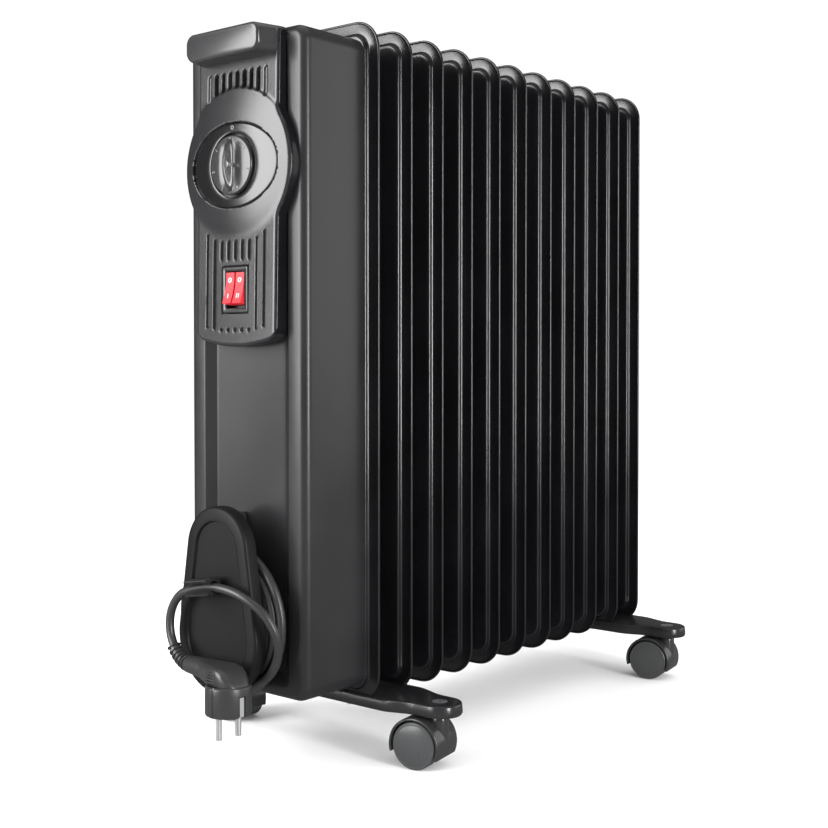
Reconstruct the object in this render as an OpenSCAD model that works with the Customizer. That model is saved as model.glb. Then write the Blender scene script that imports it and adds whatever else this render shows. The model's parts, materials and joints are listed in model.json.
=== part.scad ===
// Oil filled column radiator on casters, with a control panel and a cord winder on its front.
// Right-handed frame: +X across the width, +Y from the control end to the rear, +Z up.
// The origin is on the floor, under the middle of the heater.

/* [Column] */
// Number of oil filled fins
fin_count = 11; // [5:1:12]
// Spacing of the fins, centre to centre
fin_pitch = 43.4; // [36:0.2:60]
// Height of one fin
fin_h = 580; // [480:5:700]
// Width of one fin
fin_w = 164.6; // [145:0.2:200]
// Height of the fins' lower edge above the floor
fin_clear = 48; // [44:1:60]
// Outer corner radius of a fin
fin_r = 26; // [18:1:34]
// Width of the flat welded rim around a fin
rim_w = 11.5; // [8:0.5:16]
// Thickness of the welded rim
rim_t = 1.6; // [1:0.2:3]
// Height of the pressed panel above the rim, on each side
panel_raise = 4.5; // [3:0.5:7]
// Sheet thickness of the pressed panels
fin_sheet = 0.5; // [0.5:0.1:1]
// Outer diameter of the header collars
header_d = 52; // [40:1:60]
// Distance of the header axes from the fins' upper and lower edges
header_inset = 57; // [45:1:75]
// Wall of the header collars
header_t = 1.2; // [0.8:0.1:2]

/* [Front cover] */
// Width of the sheet cover
cover_w = 139.6; // [120:0.2:141]
// Depth of the cover, from fin face to rim plane
cover_d = 71; // [60:1:90]
// Gap between the top of the fins and the top of the cover
cover_top_gap = 15.5; // [5:0.5:30]
// Gap between the bottom of the fins and the bottom of the cover
cover_bottom_gap = 14.5; // [14:0.5:30]
// Corner radius of the cover
cover_r = 12; // [6:1:20]
// Sheet thickness of the cover
cover_t = 0.9; // [0.6:0.1:1.5]
// Width of the sunk channel at its mouth
channel_w = 100; // [92:1:108]
// Width of the channel floor
channel_floor_w = 82; // [76:1:90]
// Depth of the channel
channel_d = 6.5; // [4:0.5:10]

/* [Control panel] */
// Width of the panel
panel_w = 96.6; // [90:0.2:98]
// Height of the panel's lower edge above the fins' lower edge
panel_low = 305; // [290:1:320]
// Height of the panel's face above the cover's rim plane
panel_proud = 11.7; // [9:0.1:14]
// Wall thickness of the moulded panel
panel_t = 2.4; // [1.8:0.1:3]
// Diameter of the round boss around the knob
boss_d = 127; // [118:1:130]
// Height of the boss's crown above its edge
boss_crown = 6.5; // [4:0.5:8]
// Distance of the knob's axis below the top of the cover
knob_drop = 110.5; // [105:0.5:118]
// Width of the handle block at the top of the panel
handle_w = 86.6; // [80:0.2:92]
// Height of the handle block
handle_h = 23; // [20:1:28]
// Reach of the handle block in front of the rim plane
handle_reach = 26.7; // [22:0.1:32]

/* [Knob and switches] */
// Diameter of the thermostat knob
knob_d = 49; // [44:0.5:51]
// Height of the grip above the knob's disc
grip_h = 14; // [10:0.5:18]
// Thickness of the grip at its middle
grip_t = 9; // [7:0.5:12]
// Diameter of the thermostat shaft
shaft_d = 6; // [5:0.5:8]
// Distance of the switch centre below the knob's axis
switch_drop = 102.6; // [98:0.2:108]
// Width of one rocker
rocker_w = 9.6; // [8:0.1:11]
// Height of one rocker
rocker_h = 26; // [22:0.5:28]
// Distance between the centres of the rockers
rocker_pitch = 11.6; // [11.5:0.1:13]
// Tilt of a rocker either side of its middle, degrees
rocker_tilt = 11; // [6:1:14]

/* [Cord winder] */
// Radius of the winder plate's lower lobe
plate_r = 47; // [42:1:52]
// Radius of the winder plate's upper lobe
plate_top_r = 36; // [30:1:42]
// Distance between the centres of the plate's lobes
plate_len = 72; // [60:1:84]
// Height of the lower lobe's centre above the fins' lower edge
plate_up = 65; // [62:1:70]
// Thickness of the plate's rim
plate_t = 11.5; // [8:0.5:13]
// Distance of the plate's face from the cover's rim plane
plate_off = 34; // [33:0.5:40]
// Radius of the spool behind the plate
spool_r = 28; // [22:1:32]
// Diameter of the mains cord
cord_d = 7.2; // [6:0.1:8]

/* [Feet] */
// Length of a foot bar
bar_len = 299; // [260:1:340]
// Width of a foot bar at its tips
bar_tip_w = 37; // [32:1:42]
// Width of a foot bar under the fins
bar_mid_w = 54; // [48:1:60]
// Thickness of a foot bar
bar_t = 10.5; // [8:0.5:14]
// Diameter of a caster wheel
wheel_d = 40; // [36:1:44]
// Width of one wheel
wheel_w = 13.5; // [11:0.5:16]
// Thickness of the caster's middle web
web_t = 7; // [6:0.5:9]
// Trail of the wheel axle behind the caster's stem
trail = 16; // [14:0.5:20]
// Angle that the casters have come to rest at, degrees
caster_yaw = 10; // [0:5:20]
// Diameter of the caster's stem
stem_d = 8; // [7:0.5:10]
// Diameter of the axle
axle_d = 5; // [4:0.5:6]

/* [Fits] */
// Radial running clearance of shafts and axles
run_gap = 0.05; // [0.02:0.01:0.1]
// Clearance between pieces that move past each other
move_gap = 0.5; // [0.4:0.1:1]
// Clearance of a fin's rim in its slot in the foot bar
slot_gap = 0.3; // [0.2:0.1:0.5]

/* [Hidden] */
$fn = 64;

// Colours
black_paint = "#17181a";
grey_paint = "#2e3033";
black_plastic = "#1c1d1f";
soft_black = "#141416";
steel = "#b8bcc0";
brass = "#b59a57";
red = "#d8262c";
white = "#d8d6cf";

// Heights
fin_top = fin_clear + fin_h;
lower_z = fin_clear + header_inset;
upper_z = fin_top - header_inset;
cover_top = fin_top - cover_top_gap;
cover_low = fin_clear + cover_bottom_gap;
knob_z = cover_top - knob_drop;
switch_z = knob_z - switch_drop;
panel_z = fin_clear + panel_low;
handle_z = cover_top - handle_h;
plate_z = fin_clear + plate_up;

// Depths, measured from the middle of the first fin; the whole is then centred
fin_half = rim_t / 2 + panel_raise;
fin_face = -fin_half;
rim_y = fin_face - cover_d;
floor_y = rim_y + channel_d;
panel_y = rim_y - panel_proud;
panel_back = rim_y - 0.3;
handle_y = rim_y - handle_reach;
plate_y = rim_y - plate_off;
last_fin = (fin_count - 1) * fin_pitch;
bar_front_y = fin_pitch / 2;
bar_rear_y = last_fin - fin_pitch / 2;
clip_out = 7;
clip_y = plate_y - 10;
front_end = clip_y - clip_out;
rear_end = max(last_fin + fin_half, bar_rear_y + bar_mid_w / 2);
centre_shift = -(front_end + rear_end) / 2;

// Control panel
boss_r = boss_d / 2;
boss_edge_y = rim_y - 10.2;
boss_sphere = (boss_r * boss_r + boss_crown * boss_crown) / (2 * boss_crown);
boss_top_y = boss_edge_y - boss_crown;
dial_a = 50.6;
dial_b = 35.3;
dial_sink = 1.5;
knob_hole_r = knob_d / 2 + 2;
knob_back = boss_top_y + 4.6;
disc_t = 4;
disc_front = knob_back - disc_t;
slot_w = 3.6;
slot_pitch = 8.4;
switch_w = 31;
switch_h = 38.4;
window_w = 66;
panel_inner_w = 76;

// Feet
bar_top = fin_clear + 8;
bar_low = bar_top - bar_t;
tip_x = bar_len / 2 - bar_tip_w / 2;
stem_x = tip_x - 1;
slot_z = fin_clear - slot_gap;
hood_in = wheel_d / 2 + 1.3;
hood_out = hood_in + 2.3;
half_caster = web_t / 2 + move_gap + wheel_w;
head_r = 6.5;
head_t = 1.6;
u_rod = 5;
u_half = header_d / 2 + u_rod / 2 + 0.4;

// Cord: route of the run from the coil through the clip to the plug, from the first fin
plug_x = 38;
plug_y = -131;
plug_z = 62;
plug_turn = -6;
relief_z = 30.5;
relief_bend_r = 30;
relief_bend_x = -51.9;
relief_turn = 52;
relief_end_r = 6.2;
route = [[35.5, -94.8, 78.5], [48, -95.8, 87], [58, -98, 98.5], [64.5, -102, 112.5],
    [64.5, -107, 127.5], [57.5, -112, 141], [45, -116.5, 150.5], [29, -119.5, 156.2],
    [11, -120.3, 157.6], [-4, -120.3, 156], [-18.8, -120.4, 152], [-28.6, -120.7, 148.5],
    [-36.6, -121, 141.8], [-41.8, -121.4, 132.8], [-43.6, -121.8, 122.5],
    [-41.8, -122.2, 112.2], [-37.2, -122.8, 104], [-32.9, -123.5, 99.5]];

// ---------- shared shapes ----------

// Moves a piece from the first fin's frame to the row frame.
module placed() {
    translate([0, centre_shift, 0]) children();
}

// Extrudes an X-Z outline from depth y0 to depth y1.
module along_y(y0, y1) {
    translate([0, y1, 0]) rotate([90, 0, 0]) linear_extrude(y1 - y0) children();
}

// Rounded rectangle, centred on X, from height z0 to z1.
module plate_outline(w, z0, z1, r) {
    translate([-w / 2, z0 + r]) square([w, z1 - z0 - 2 * r]);
    translate([-w / 2 + r, z0]) square([w - 2 * r, z1 - z0]);
    for (x = [-w / 2 + r, w / 2 - r], z = [z0 + r, z1 - r]) translate([x, z]) circle(r);
}

// A round bar along Y.
module rod_y(r, y0, y1) {
    translate([0, y1, 0]) rotate([90, 0, 0]) cylinder(r = r, h = y1 - y0);
}

// A slot with round ends, standing along Z.
module slot_outline(w, len) {
    translate([-w / 2, -len / 2 + w / 2]) square([w, len - w]);
    for (z = [-1, 1]) translate([0, z * (len - w) / 2]) circle(w / 2);
}

// A round-ended link of round wire between two points.
module link(a, b, r) {
    v = b - a;
    len = norm(v);
    translate(a) rotate([0, acos(v[2] / len), atan2(v[1], v[0])])
        cylinder(r = r, h = len, $fn = 12);
    translate(b) sphere(r, $fn = 12);
}

// ---------- column ----------

// One hollow fin: two pressed sheets welded along a flat rim. Header holes open its walls.
module fin(index) {
    y = (index - 1) * fin_pitch;
    first = index == 1;
    last = index == fin_count;
    inner_w = fin_w - 2 * rim_w;
    inner_r = max(fin_r - rim_w, 4);
    hole_r = header_d / 2 - header_t - 1;
    color(black_paint) placed() translate([0, y, 0]) difference() {
        union() {
            along_y(-rim_t / 2, rim_t / 2) plate_outline(fin_w, fin_clear, fin_top, fin_r);
            along_y(-fin_half, fin_half)
                plate_outline(inner_w, fin_clear + rim_w, fin_top - rim_w, inner_r);
        }
        along_y(-fin_half + fin_sheet, fin_half - fin_sheet)
            plate_outline(inner_w - 2 * fin_sheet, fin_clear + rim_w + fin_sheet,
                fin_top - rim_w - fin_sheet, inner_r - fin_sheet);
        for (z = [lower_z, upper_z]) translate([0, 0, z]) {
            if (!last) rod_y(hole_r, 0, fin_half + 1);
            if (!first) rod_y(hole_r, -fin_half - 1, 0);
        }
        if (first) translate([0, 0, lower_z]) rod_y(element_r, -fin_half - 1, 0);
        if (first) translate([0, 0, upper_z]) rod_y(filler_r, -fin_half - 1, 0);
    }
}

// Short tubes that join the fins at one height.
module header(z) {
    color(black_paint) placed() translate([0, 0, z])
        for (i = [1 : fin_count - 1]) translate([0, (i - 0.5) * fin_pitch, 0]) difference() {
            rod_y(header_d / 2, -fin_pitch / 2 + fin_half, fin_pitch / 2 - fin_half);
            rod_y(header_d / 2 - header_t, -fin_pitch / 2, fin_pitch / 2);
        }
}

// Immersion heater: a screwed flange with two hairpin tubes along the lower header.
element_r = 17;
element_len = 0.68 * last_fin;
tube_r = 4;
module heating_element() {
    color(steel) placed() translate([0, 0, lower_z]) {
        rod_y(element_r, fin_face - 6, 4);
        for (x = [-8, 8]) {
            for (z = [-7, 7]) translate([x, 0, z]) rod_y(tube_r, 4, element_len);
            translate([x, element_len, 0]) rotate([0, 90, 0]) rotate([0, 0, 0])
                rotate_extrude(angle = 180) translate([7, 0]) circle(tube_r);
            for (z = [-7, 7]) translate([x, 0, z]) rod_y(1.5, fin_face - 20, fin_face - 6);
        }
    }
}

// Hexagon nut that clamps the element's flange to the first fin.
nut_gasket_t = 1.5;
module element_nut() {
    color(brass) placed() translate([0, 0, lower_z]) difference() {
        translate([0, fin_face - nut_gasket_t, 0]) rotate([90, 0, 0])
            cylinder(r = 24, h = 9, $fn = 6);
        rod_y(element_r, fin_face - 20, fin_face);
        for (x = [-8, 8], z = [-7, 7]) translate([x, 0, z]) rod_y(2, fin_face - 20, fin_face);
    }
}

// Sealing ring under the element nut.
module element_gasket() {
    color(soft_black) placed() translate([0, 0, lower_z]) difference() {
        rod_y(20.5, fin_face - nut_gasket_t, fin_face);
        rod_y(element_r, fin_face - 4, fin_face + 1);
    }
}

// Crimped plug in the oil filling hole of the first fin.
filler_r = 8;
module filler_plug() {
    color(steel) placed() translate([0, 0, upper_z]) {
        rod_y(filler_r, fin_face - 2, fin_face + fin_sheet);
        rod_y(11, fin_face - 2, fin_face);
    }
}

// ---------- front cover ----------

// Trapezium of the channel, in plan: mouth at the rim plane, floor behind it.
module channel_plan(grow) {
    polygon([[-channel_w / 2 - grow, rim_y - 1 - grow], [channel_w / 2 + grow, rim_y - 1 - grow],
        [channel_w / 2 + grow, rim_y], [channel_floor_w / 2 + grow, floor_y + grow],
        [-channel_floor_w / 2 - grow, floor_y + grow], [-channel_w / 2 - grow, rim_y]]);
}

// Deep-drawn sheet cover with a sunk channel down its front, open towards the first fin.
module front_cover() {
    channel_low = cover_low + 8;
    color(grey_paint) placed() difference() {
        along_y(rim_y, fin_face) plate_outline(cover_w, cover_low, cover_top, cover_r);
        translate([0, 0, channel_low]) linear_extrude(cover_top - channel_low + 1) channel_plan(0);
        difference() {
            along_y(rim_y + cover_t, fin_face + 1)
                plate_outline(cover_w - 2 * cover_t, cover_low + cover_t, cover_top - cover_t,
                    cover_r - cover_t);
            translate([0, 0, channel_low - cover_t])
                linear_extrude(cover_top - channel_low + 2) channel_plan(cover_t);
        }
        // window behind the panel, for the thermostat and the switch
        along_y(floor_y - 1, floor_y + cover_t + 1)
            plate_outline(window_w, panel_z + 14, knob_z + 42, 4);
        // screw holes of the panel and the winder, and the cord's hole
        for (p = panel_screw_places) translate([p[0], 0, p[1]])
            rod_y(screw_r, floor_y - 1, floor_y + cover_t + 1);
        for (z = winder_screw_places) translate([0, 0, z])
            rod_y(screw_r, floor_y - 1, floor_y + cover_t + 1);
        translate([gland_x, 0, gland_z]) rod_y(gland_neck_r, floor_y - 1, floor_y + cover_t + 1);
        for (x = [-1, 1]) translate([x * bracket_screw_x, bracket_screw_y, cover_low - 1])
            cylinder(r = screw_r, h = cover_t + 2);
    }
}

screw_r = 1.9;
panel_screw_places = [[-35.5, panel_z + 24], [35.5, panel_z + 24],
    [-35.5, handle_z - 18], [35.5, handle_z - 18]];
winder_screw_places = [plate_z - 10, plate_z + 26];
bracket_screw_x = 40;
bracket_screw_y = fin_face - 14;

// Angle bracket welded to the first fin, that the cover is screwed to from below.
module cover_bracket() {
    low = cover_low + cover_t;
    color(grey_paint) placed() difference() {
        union() {
            translate([-50, fin_face - 1.5, low]) cube([100, 1.5, 16]);
            translate([-50, fin_face - 24, low]) cube([100, 24, 1.5]);
        }
        for (x = [-1, 1]) translate([x * bracket_screw_x, bracket_screw_y, low - 1])
            cylinder(r = screw_r, h = 4);
    }
}

module cover_screws() {
    color(steel) placed() for (x = [-1, 1])
        translate([x * bracket_screw_x, bracket_screw_y, cover_low]) {
            cylinder(r = screw_r, h = 8);
            translate([0, 0, -2.2]) cylinder(r = 3.6, h = 2.2);
        }
}

// ---------- control panel ----------

// Front outline of the panel: straight sides, an arc along the lower edge.
module panel_outline(w, low) {
    arc_r = 150;
    corner = 9;
    half = w / 2;
    top = cover_top;
    intersection() {
        translate([0, low + arc_r]) circle(arc_r, $fn = 96);
        plate_outline(w, low, top - 3, corner);
    }
    translate([-half, low + 60]) square([w, top - low - 63]);
}

// Ellipse of the sunk dial plate.
module dial_outline() {
    polygon([for (a = [0 : 6 : 354]) [dial_a * cos(a), dial_b * sin(a)]]);
}

// Round crowned boss, a slice of a large ball.
module boss(r, sphere_r, back) {
    intersection() {
        rod_y(r, boss_top_y - 1, back);
        translate([0, boss_top_y + boss_sphere, 0]) sphere(sphere_r, $fn = 128);
    }
}

// Vent slots above the knob and ribs below it; their lower ends follow the boss.
module panel_vents() {
    for (i = [-3 : 3]) translate([i * slot_pitch, handle_z - 10 - (14 + abs(i) * 1.2) / 2])
        slot_outline(slot_w, 14 + abs(i) * 1.2);
}

// Moulded control panel with the knob boss, vents, switch frame and the handle block.
module control_panel() {
    color(black_plastic) placed() difference() {
        union() {
            along_y(panel_y, panel_back) panel_outline(panel_w, panel_z);
            along_y(panel_back - 0.1, floor_y)
                plate_outline(panel_inner_w, panel_z + 2, handle_z - 4, 4);
            translate([0, 0, knob_z]) boss(boss_r, boss_sphere, panel_back);
            along_y(handle_y, panel_back)
                plate_outline(handle_w, handle_z, cover_top, 6);
        }
        // hollow back
        difference() {
            along_y(panel_y + panel_t, floor_y + 1)
                plate_outline(panel_inner_w - 2 * panel_t, panel_z + 2 + panel_t,
                    handle_z - 4 - panel_t, 2);
            for (p = panel_screw_places) translate([p[0], 0, p[1]])
                rod_y(4.5, panel_y, floor_y);
            translate([0, 0, knob_z]) for (x = [-22, 22]) translate([x, 0, 0])
                rod_y(4.5, panel_y, floor_y);
        }
        // dial plate sunk into the boss
        translate([0, 0, knob_z]) difference() {
            along_y(boss_top_y - 2, panel_y + 6) dial_outline();
            translate([0, boss_top_y + boss_sphere, 0])
                sphere(boss_sphere - dial_sink, $fn = 128);
        }
        // well of the knob, and the shaft's hole
        translate([0, 0, knob_z]) rod_y(knob_hole_r, boss_top_y - 2, knob_back + 0.6);
        translate([0, 0, knob_z]) rod_y(shaft_d / 2 + 1, boss_top_y, floor_y);
        // vents
        along_y(panel_y - 1, panel_y + panel_t + 1) panel_vents();
        // switch opening
        translate([0, 0, switch_z]) along_y(panel_y - 1, panel_y + panel_t + 1)
            plate_outline(2 * switch_frame_x, -rocker_h / 2 - frame_rim, rocker_h / 2 + frame_rim, 1);
        // screw pilots
        for (p = panel_screw_places) translate([p[0], 0, p[1]])
            rod_y(screw_r, floor_y - 9, floor_y + 1);
    }
}
frame_rim = 4.4;
switch_frame_x = rocker_pitch / 2 + rocker_w / 2 + 2.2;

module panel_screws() {
    color(steel) placed() for (p = panel_screw_places) translate([p[0], 0, p[1]]) {
        rod_y(screw_r, floor_y - 8, floor_y + cover_t);
        rod_y(3.6, floor_y + cover_t, floor_y + cover_t + 2.2);
    }
}

// Thermostat knob: a shallow disc with a tall leaf-shaped grip across it.
module control_knob() {
    disc_r = knob_d / 2;
    color(soft_black) placed() translate([0, 0, knob_z]) difference() {
        union() {
            rod_y(disc_r, disc_front, knob_back);
            intersection() {
                rod_y(disc_r - 0.8, disc_front - grip_h, disc_front + 1);
                for (s = [-1, 1]) intersection_for (t = [-1, 1])
                    translate([t * (grip_leaf_r - grip_t / 2), disc_front + 1, 0])
                        rod_y(grip_leaf_r, -grip_h - 1, 0);
                translate([-grip_t, disc_front + 20, 0]) rotate([0, 90, 0])
                    cylinder(r = 20 + grip_h, h = 2 * grip_t, $fn = 96);
            }
        }
        rod_y(shaft_d / 2, disc_front - 6, knob_back + 1);
    }
}
grip_leaf_r = (knob_d * knob_d / 4 + grip_t * grip_t / 4) / grip_t;

// Shaft of the thermostat, a press fit in the knob.
module thermostat_shaft() {
    color(steel) placed() translate([0, 0, knob_z])
        rod_y(shaft_d / 2, disc_front - 6, thermostat_y + 6);
}

// Thermostat with its bracket, screwed to the bosses behind the dial.
thermostat_y = floor_y;
module thermostat_body() {
    color(white) placed() translate([0, 0, knob_z]) difference() {
        union() {
            translate([-28, thermostat_y, -9]) cube([56, 1.5, 18]);
            translate([-14, thermostat_y + 1.5, -17]) cube([28, 24, 34]);
        }
        rod_y(shaft_d / 2 + run_gap, thermostat_y - 1, thermostat_y + 8);
    }
}

// Body of the twin rocker switch, clipped into the panel from the front.
pivot_r = 1.5;
module switch_body() {
    color(soft_black) placed() translate([0, 0, switch_z]) difference() {
        union() {
            along_y(panel_y - 0.8, panel_y)
                plate_outline(switch_w, -switch_h / 2, switch_h / 2, 1.5);
            along_y(panel_y, panel_y + 20)
                plate_outline(2 * switch_frame_x, -rocker_h / 2 - frame_rim, rocker_h / 2 + frame_rim, 1);
        }
        for (x = [-1, 1]) translate([x * rocker_pitch / 2 - rocker_w / 2 - move_gap / 2, 0, 0])
            translate([0, panel_y - 2, -rocker_h / 2 - rocker_swing])
                cube([rocker_w + move_gap, 16, rocker_h + 2 * rocker_swing]);
        for (x = [-1, 1]) translate([x * rocker_pitch / 2 - rocker_w / 2 - pin_out - 0.1, pivot_y, 0])
            rotate([0, 90, 0]) cylinder(r = pivot_r + run_gap, h = rocker_w + 2 * pin_out + 0.2);
    }
}
pivot_y = panel_y + 6;
pin_out = (rocker_pitch - rocker_w) / 2 - 0.2;
rocker_out = 9;
rocker_swing = rocker_out * sin(rocker_tilt) + 0.4;

// One rocker on its trunnions, resting with its upper end pressed in.
module rocker(side) {
    color(red) placed() translate([side * rocker_pitch / 2, pivot_y, switch_z])
        rotate([-rocker_tilt, 0, 0]) {
            difference() {
                translate([-rocker_w / 2, -rocker_out, -rocker_h / 2])
                    cube([rocker_w, rocker_out + 1.5, rocker_h]);
                translate([-rocker_w, -rocker_out - 60, 0]) rotate([0, 90, 0])
                    cylinder(r = 62.2, h = 2 * rocker_w, $fn = 128);
            }
            translate([-rocker_w / 2 - pin_out, 0, 0]) rotate([0, 90, 0])
                cylinder(r = pivot_r, h = rocker_w + 2 * pin_out);
        }
}

// Overheat cut-out, pressed against the first fin.
module thermal_cutout() {
    color(white) placed() translate([34, 0, upper_z - 90]) {
        rod_y(8, fin_face - 7, fin_face);
        translate([-14, fin_face - 1, -4]) cube([28, 1, 8]);
        for (x = [-4, 4]) translate([x - 0.4, fin_face - 14, -3]) cube([0.8, 7, 6]);
    }
}

// Mains terminal block on the cover bracket.
block_z = cover_low + cover_t + 1.5;
module terminal_block() {
    color(white) placed() translate([-24, fin_face - 23, block_z]) difference() {
        cube([48, 16, 12]);
        for (x = [8, 24, 40]) translate([x, 8, 6]) cylinder(r = 2.4, h = 7);
    }
}

// Inner wires, from the terminals to the switch, thermostat, cut-out and element.
module wire_loom() {
    wire = 1.3;
    back = fin_face - 20;
    color(red) placed() {
        link([-16, back, block_z + 12], [-46, back, block_z + 60], wire);
        link([-46, back, block_z + 60], [-46, back, switch_z - 30], wire);
        link([-46, back, switch_z - 30], [-8, panel_y + 24, switch_z], wire);
        link([16, back, block_z + 12], [46, back, block_z + 60], wire);
        link([46, back, block_z + 60], [46, back, knob_z - 34], wire);
        link([46, back, knob_z - 34], [8, back + 8, knob_z - 19], wire);
        link([50, back, block_z + 60], [50, back, upper_z - 104], wire);
        link([50, back, upper_z - 104], [38, fin_face - 15.5, upper_z - 90], wire);
    }
}

// ---------- cord winder ----------

// Egg-shaped outline of the winder plate, a small lobe over a large one with straight flanks.
module egg_outline(shrink) {
    r1 = plate_r - shrink;
    r2 = plate_top_r - shrink;
    lean = asin((r1 - r2) / plate_len);
    c = cos(lean);
    s = sin(lean);
    translate([0, plate_z]) {
        circle(r1);
        translate([0, plate_len]) circle(r2);
        polygon([[-r1 * c, r1 * s], [r1 * c, r1 * s],
            [r2 * c, plate_len + r2 * s], [-r2 * c, plate_len + r2 * s]]);
    }
}

module winder_plate() {
    color(black_plastic) placed() difference() {
        union() {
            difference() {
                along_y(plate_y, plate_y + plate_t) egg_outline(0);
                along_y(plate_y + 2.4, plate_y + plate_t + 1) difference() {
                    egg_outline(2.4);
                    translate([0, plate_z + 8]) circle(spool_r - 3);
                }
            }
            // clip: a split ring on a short foot
            translate([clip_x, clip_y, clip_z]) rotate([0, 90 - clip_lean, 0])
                translate([0, 0, -clip_len / 2]) cylinder(r = clip_r + 2.5, h = clip_len);
            translate([clip_x - 6, plate_y - 5.5, clip_z - 5]) cube([12, 6, 10]);
        }
        translate([clip_x, clip_y, clip_z]) rotate([0, 90 - clip_lean, 0]) {
            translate([0, 0, -clip_len / 2 - 1]) cylinder(r = clip_r, h = clip_len + 2);
            translate([0, -clip_r - 4, -clip_len / 2 - 1]) cube([12, 7, clip_len + 2]);
        }
        // two narrow mould slots under the clip
        for (x = [-19, 7]) translate([x, plate_y - 1, plate_z + 8]) cube([1.6, 4, 26]);
    }
}
clip_x = -4;
clip_z = 156;
clip_len = 28;
clip_lean = 9;
clip_r = cord_d / 2 + 1.1;

// Spool that the cord is wound on.
module winder_spool() {
    color(black_plastic) placed() difference() {
        along_y(plate_y + 2.4 + spool_gap, floor_y) {
            translate([0, plate_z - 8]) circle(spool_r - 3.5);
            translate([0, plate_z + 24]) circle(spool_r - 3.5);
            translate([-spool_r + 3.5, plate_z - 8]) square([2 * spool_r - 7, 32]);
        }
        for (z = winder_screw_places) translate([0, 0, z])
            rod_y(screw_r, floor_y - 9, floor_y + 1);
        along_y(plate_y, plate_y + plate_t) translate([0, plate_z + 8]) circle(spool_r - 3);
    }
}
spool_gap = 0;

module winder_screws() {
    color(steel) placed() for (z = winder_screw_places) translate([0, 0, z]) {
        rod_y(screw_r, floor_y - 8, floor_y + cover_t);
        rod_y(3.6, floor_y + cover_t, floor_y + cover_t + 2.2);
    }
}

// Strain relief of the cord: a block on the channel floor with a tapered sleeve pointing down.
gland_x = -14;
gland_z = 204;
gland_lean = 30;
gland_neck_r = 4.5;
gland_y = -80.4;
module cord_gland() {
    color(soft_black) placed() {
        translate([gland_x - 8, floor_y - 13.6, gland_z - 9]) cube([16, 13.6, 18]);
        translate([gland_x, 0, gland_z]) rod_y(gland_neck_r, floor_y - 2, floor_y + cover_t + 6);
        translate([gland_x, gland_y, gland_z]) rotate([0, gland_lean, 0])
            translate([0, 0, -38]) cylinder(r1 = 4.4, r2 = 5.6, h = 34);
    }
}

// Outer shape of the wound cord.
coil_r = 60;
coil_in = 45;
coil_front = -98.5;
coil_back = -76.7;
module cord_coil() {
    color(soft_black) placed() along_y(coil_front, coil_back) difference() {
        for (z = [plate_z + 9, plate_z + 17]) translate([0, z]) circle(coil_r);
        for (z = [plate_z + 9, plate_z + 17]) translate([0, z]) circle(coil_in);
    }
}

// Point at parameter t on a smooth curve through four points.
function spline(a, b, c, d, t) =
    0.5 * ((2 * b) + (c - a) * t + (2 * a - 5 * b + 4 * c - d) * t * t
    + (3 * b - a - 3 * c + d) * t * t * t);

// Points along the whole route, a few between each pair of chosen points.
steps = 3;
function walk(p) = [for (i = [0 : len(p) - 2], k = [0 : steps - 1])
    spline(p[max(i - 1, 0)], p[i], p[i + 1], p[min(i + 2, len(p) - 1)], k / steps),
    p[len(p) - 1]];
function unit(v) = v / norm(v);

// Frame carried along the path, each ring's side direction taken from the last one.
function carried(pts, i, last_side) =
    let (d = unit(pts[min(i + 1, len(pts) - 1)] - pts[max(i - 1, 0)]),
        side = unit(last_side - d * (last_side * d)))
    i == len(pts) - 1 ? [[d, side]] : concat([[d, side]], carried(pts, i + 1, side));

// Tube swept along points, with flat ends.
module tube(pts, r, sides) {
    n = len(pts);
    frames = carried(pts, 0, [0, 1, 0]);
    rings = [for (i = [0 : n - 1], k = [0 : sides - 1])
        pts[i] + r * (frames[i][1] * cos(k * 360 / sides)
            + cross(frames[i][0], frames[i][1]) * sin(k * 360 / sides))];
    walls = [for (i = [0 : n - 2], k = [0 : sides - 1])
        [i * sides + k, i * sides + (k + 1) % sides, (i + 1) * sides + (k + 1) % sides,
            (i + 1) * sides + k]];
    near = [[for (k = [sides - 1 : -1 : 0]) k]];
    far = [[for (k = [0 : sides - 1]) (n - 1) * sides + k]];
    polyhedron(rings, concat(near, walls, far));
}

// Free run of the cord, from the coil through the clip to the plug.
module cord_tail() {
    color(soft_black) placed() tube(walk(route), cord_d / 2, 10);
}

// Earthed mains plug with a side cord entry, its pins pointing down.
module plug_place() {
    placed() translate([plug_x, plug_y, plug_z]) rotate([0, 0, plug_turn]) children();
}

module plug_body() {
    color(soft_black) plug_place() difference() {
        union() {
            cylinder(r = 18.5, h = 24);
            translate([-22, -10, 20]) cube([34, 20, 18]);
            translate([0, 0, 20]) cylinder(r = 14, h = 18);
            translate([-38, 0, relief_z]) rotate([0, 90, 0])
                cylinder(r = 8, h = 22);
            translate([relief_bend_x, 0, relief_z]) rotate([0, 90, 0])
                cylinder(r1 = relief_end_r, r2 = 7.6, h = 15);
            // sleeve's end, curving up to meet the cord
            translate([relief_bend_x, 0, relief_z + relief_bend_r]) rotate([90, 0, 0])
                rotate([0, 0, 270 - relief_turn]) rotate_extrude(angle = relief_turn)
                    translate([relief_bend_r, 0]) circle(relief_end_r);
        }
        // grooves of the earth contacts
        for (x = [-1, 1]) translate([x * 19 - 2.5, -3, -1]) cube([5, 6, 18]);
    }
}

// Two round pins and the earth springs.
pin_r = 2.4;
pin_len = 19;
module plug_pins() {
    color(steel) plug_place() {
        for (y = [-9.5, 9.5]) translate([0, y, -pin_len]) cylinder(r = pin_r, h = pin_len);
        for (x = [-1, 1]) translate([x * 17 - 0.5, -2, 1]) cube([1, 4, 15]);
    }
}

// ---------- feet ----------

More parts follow.
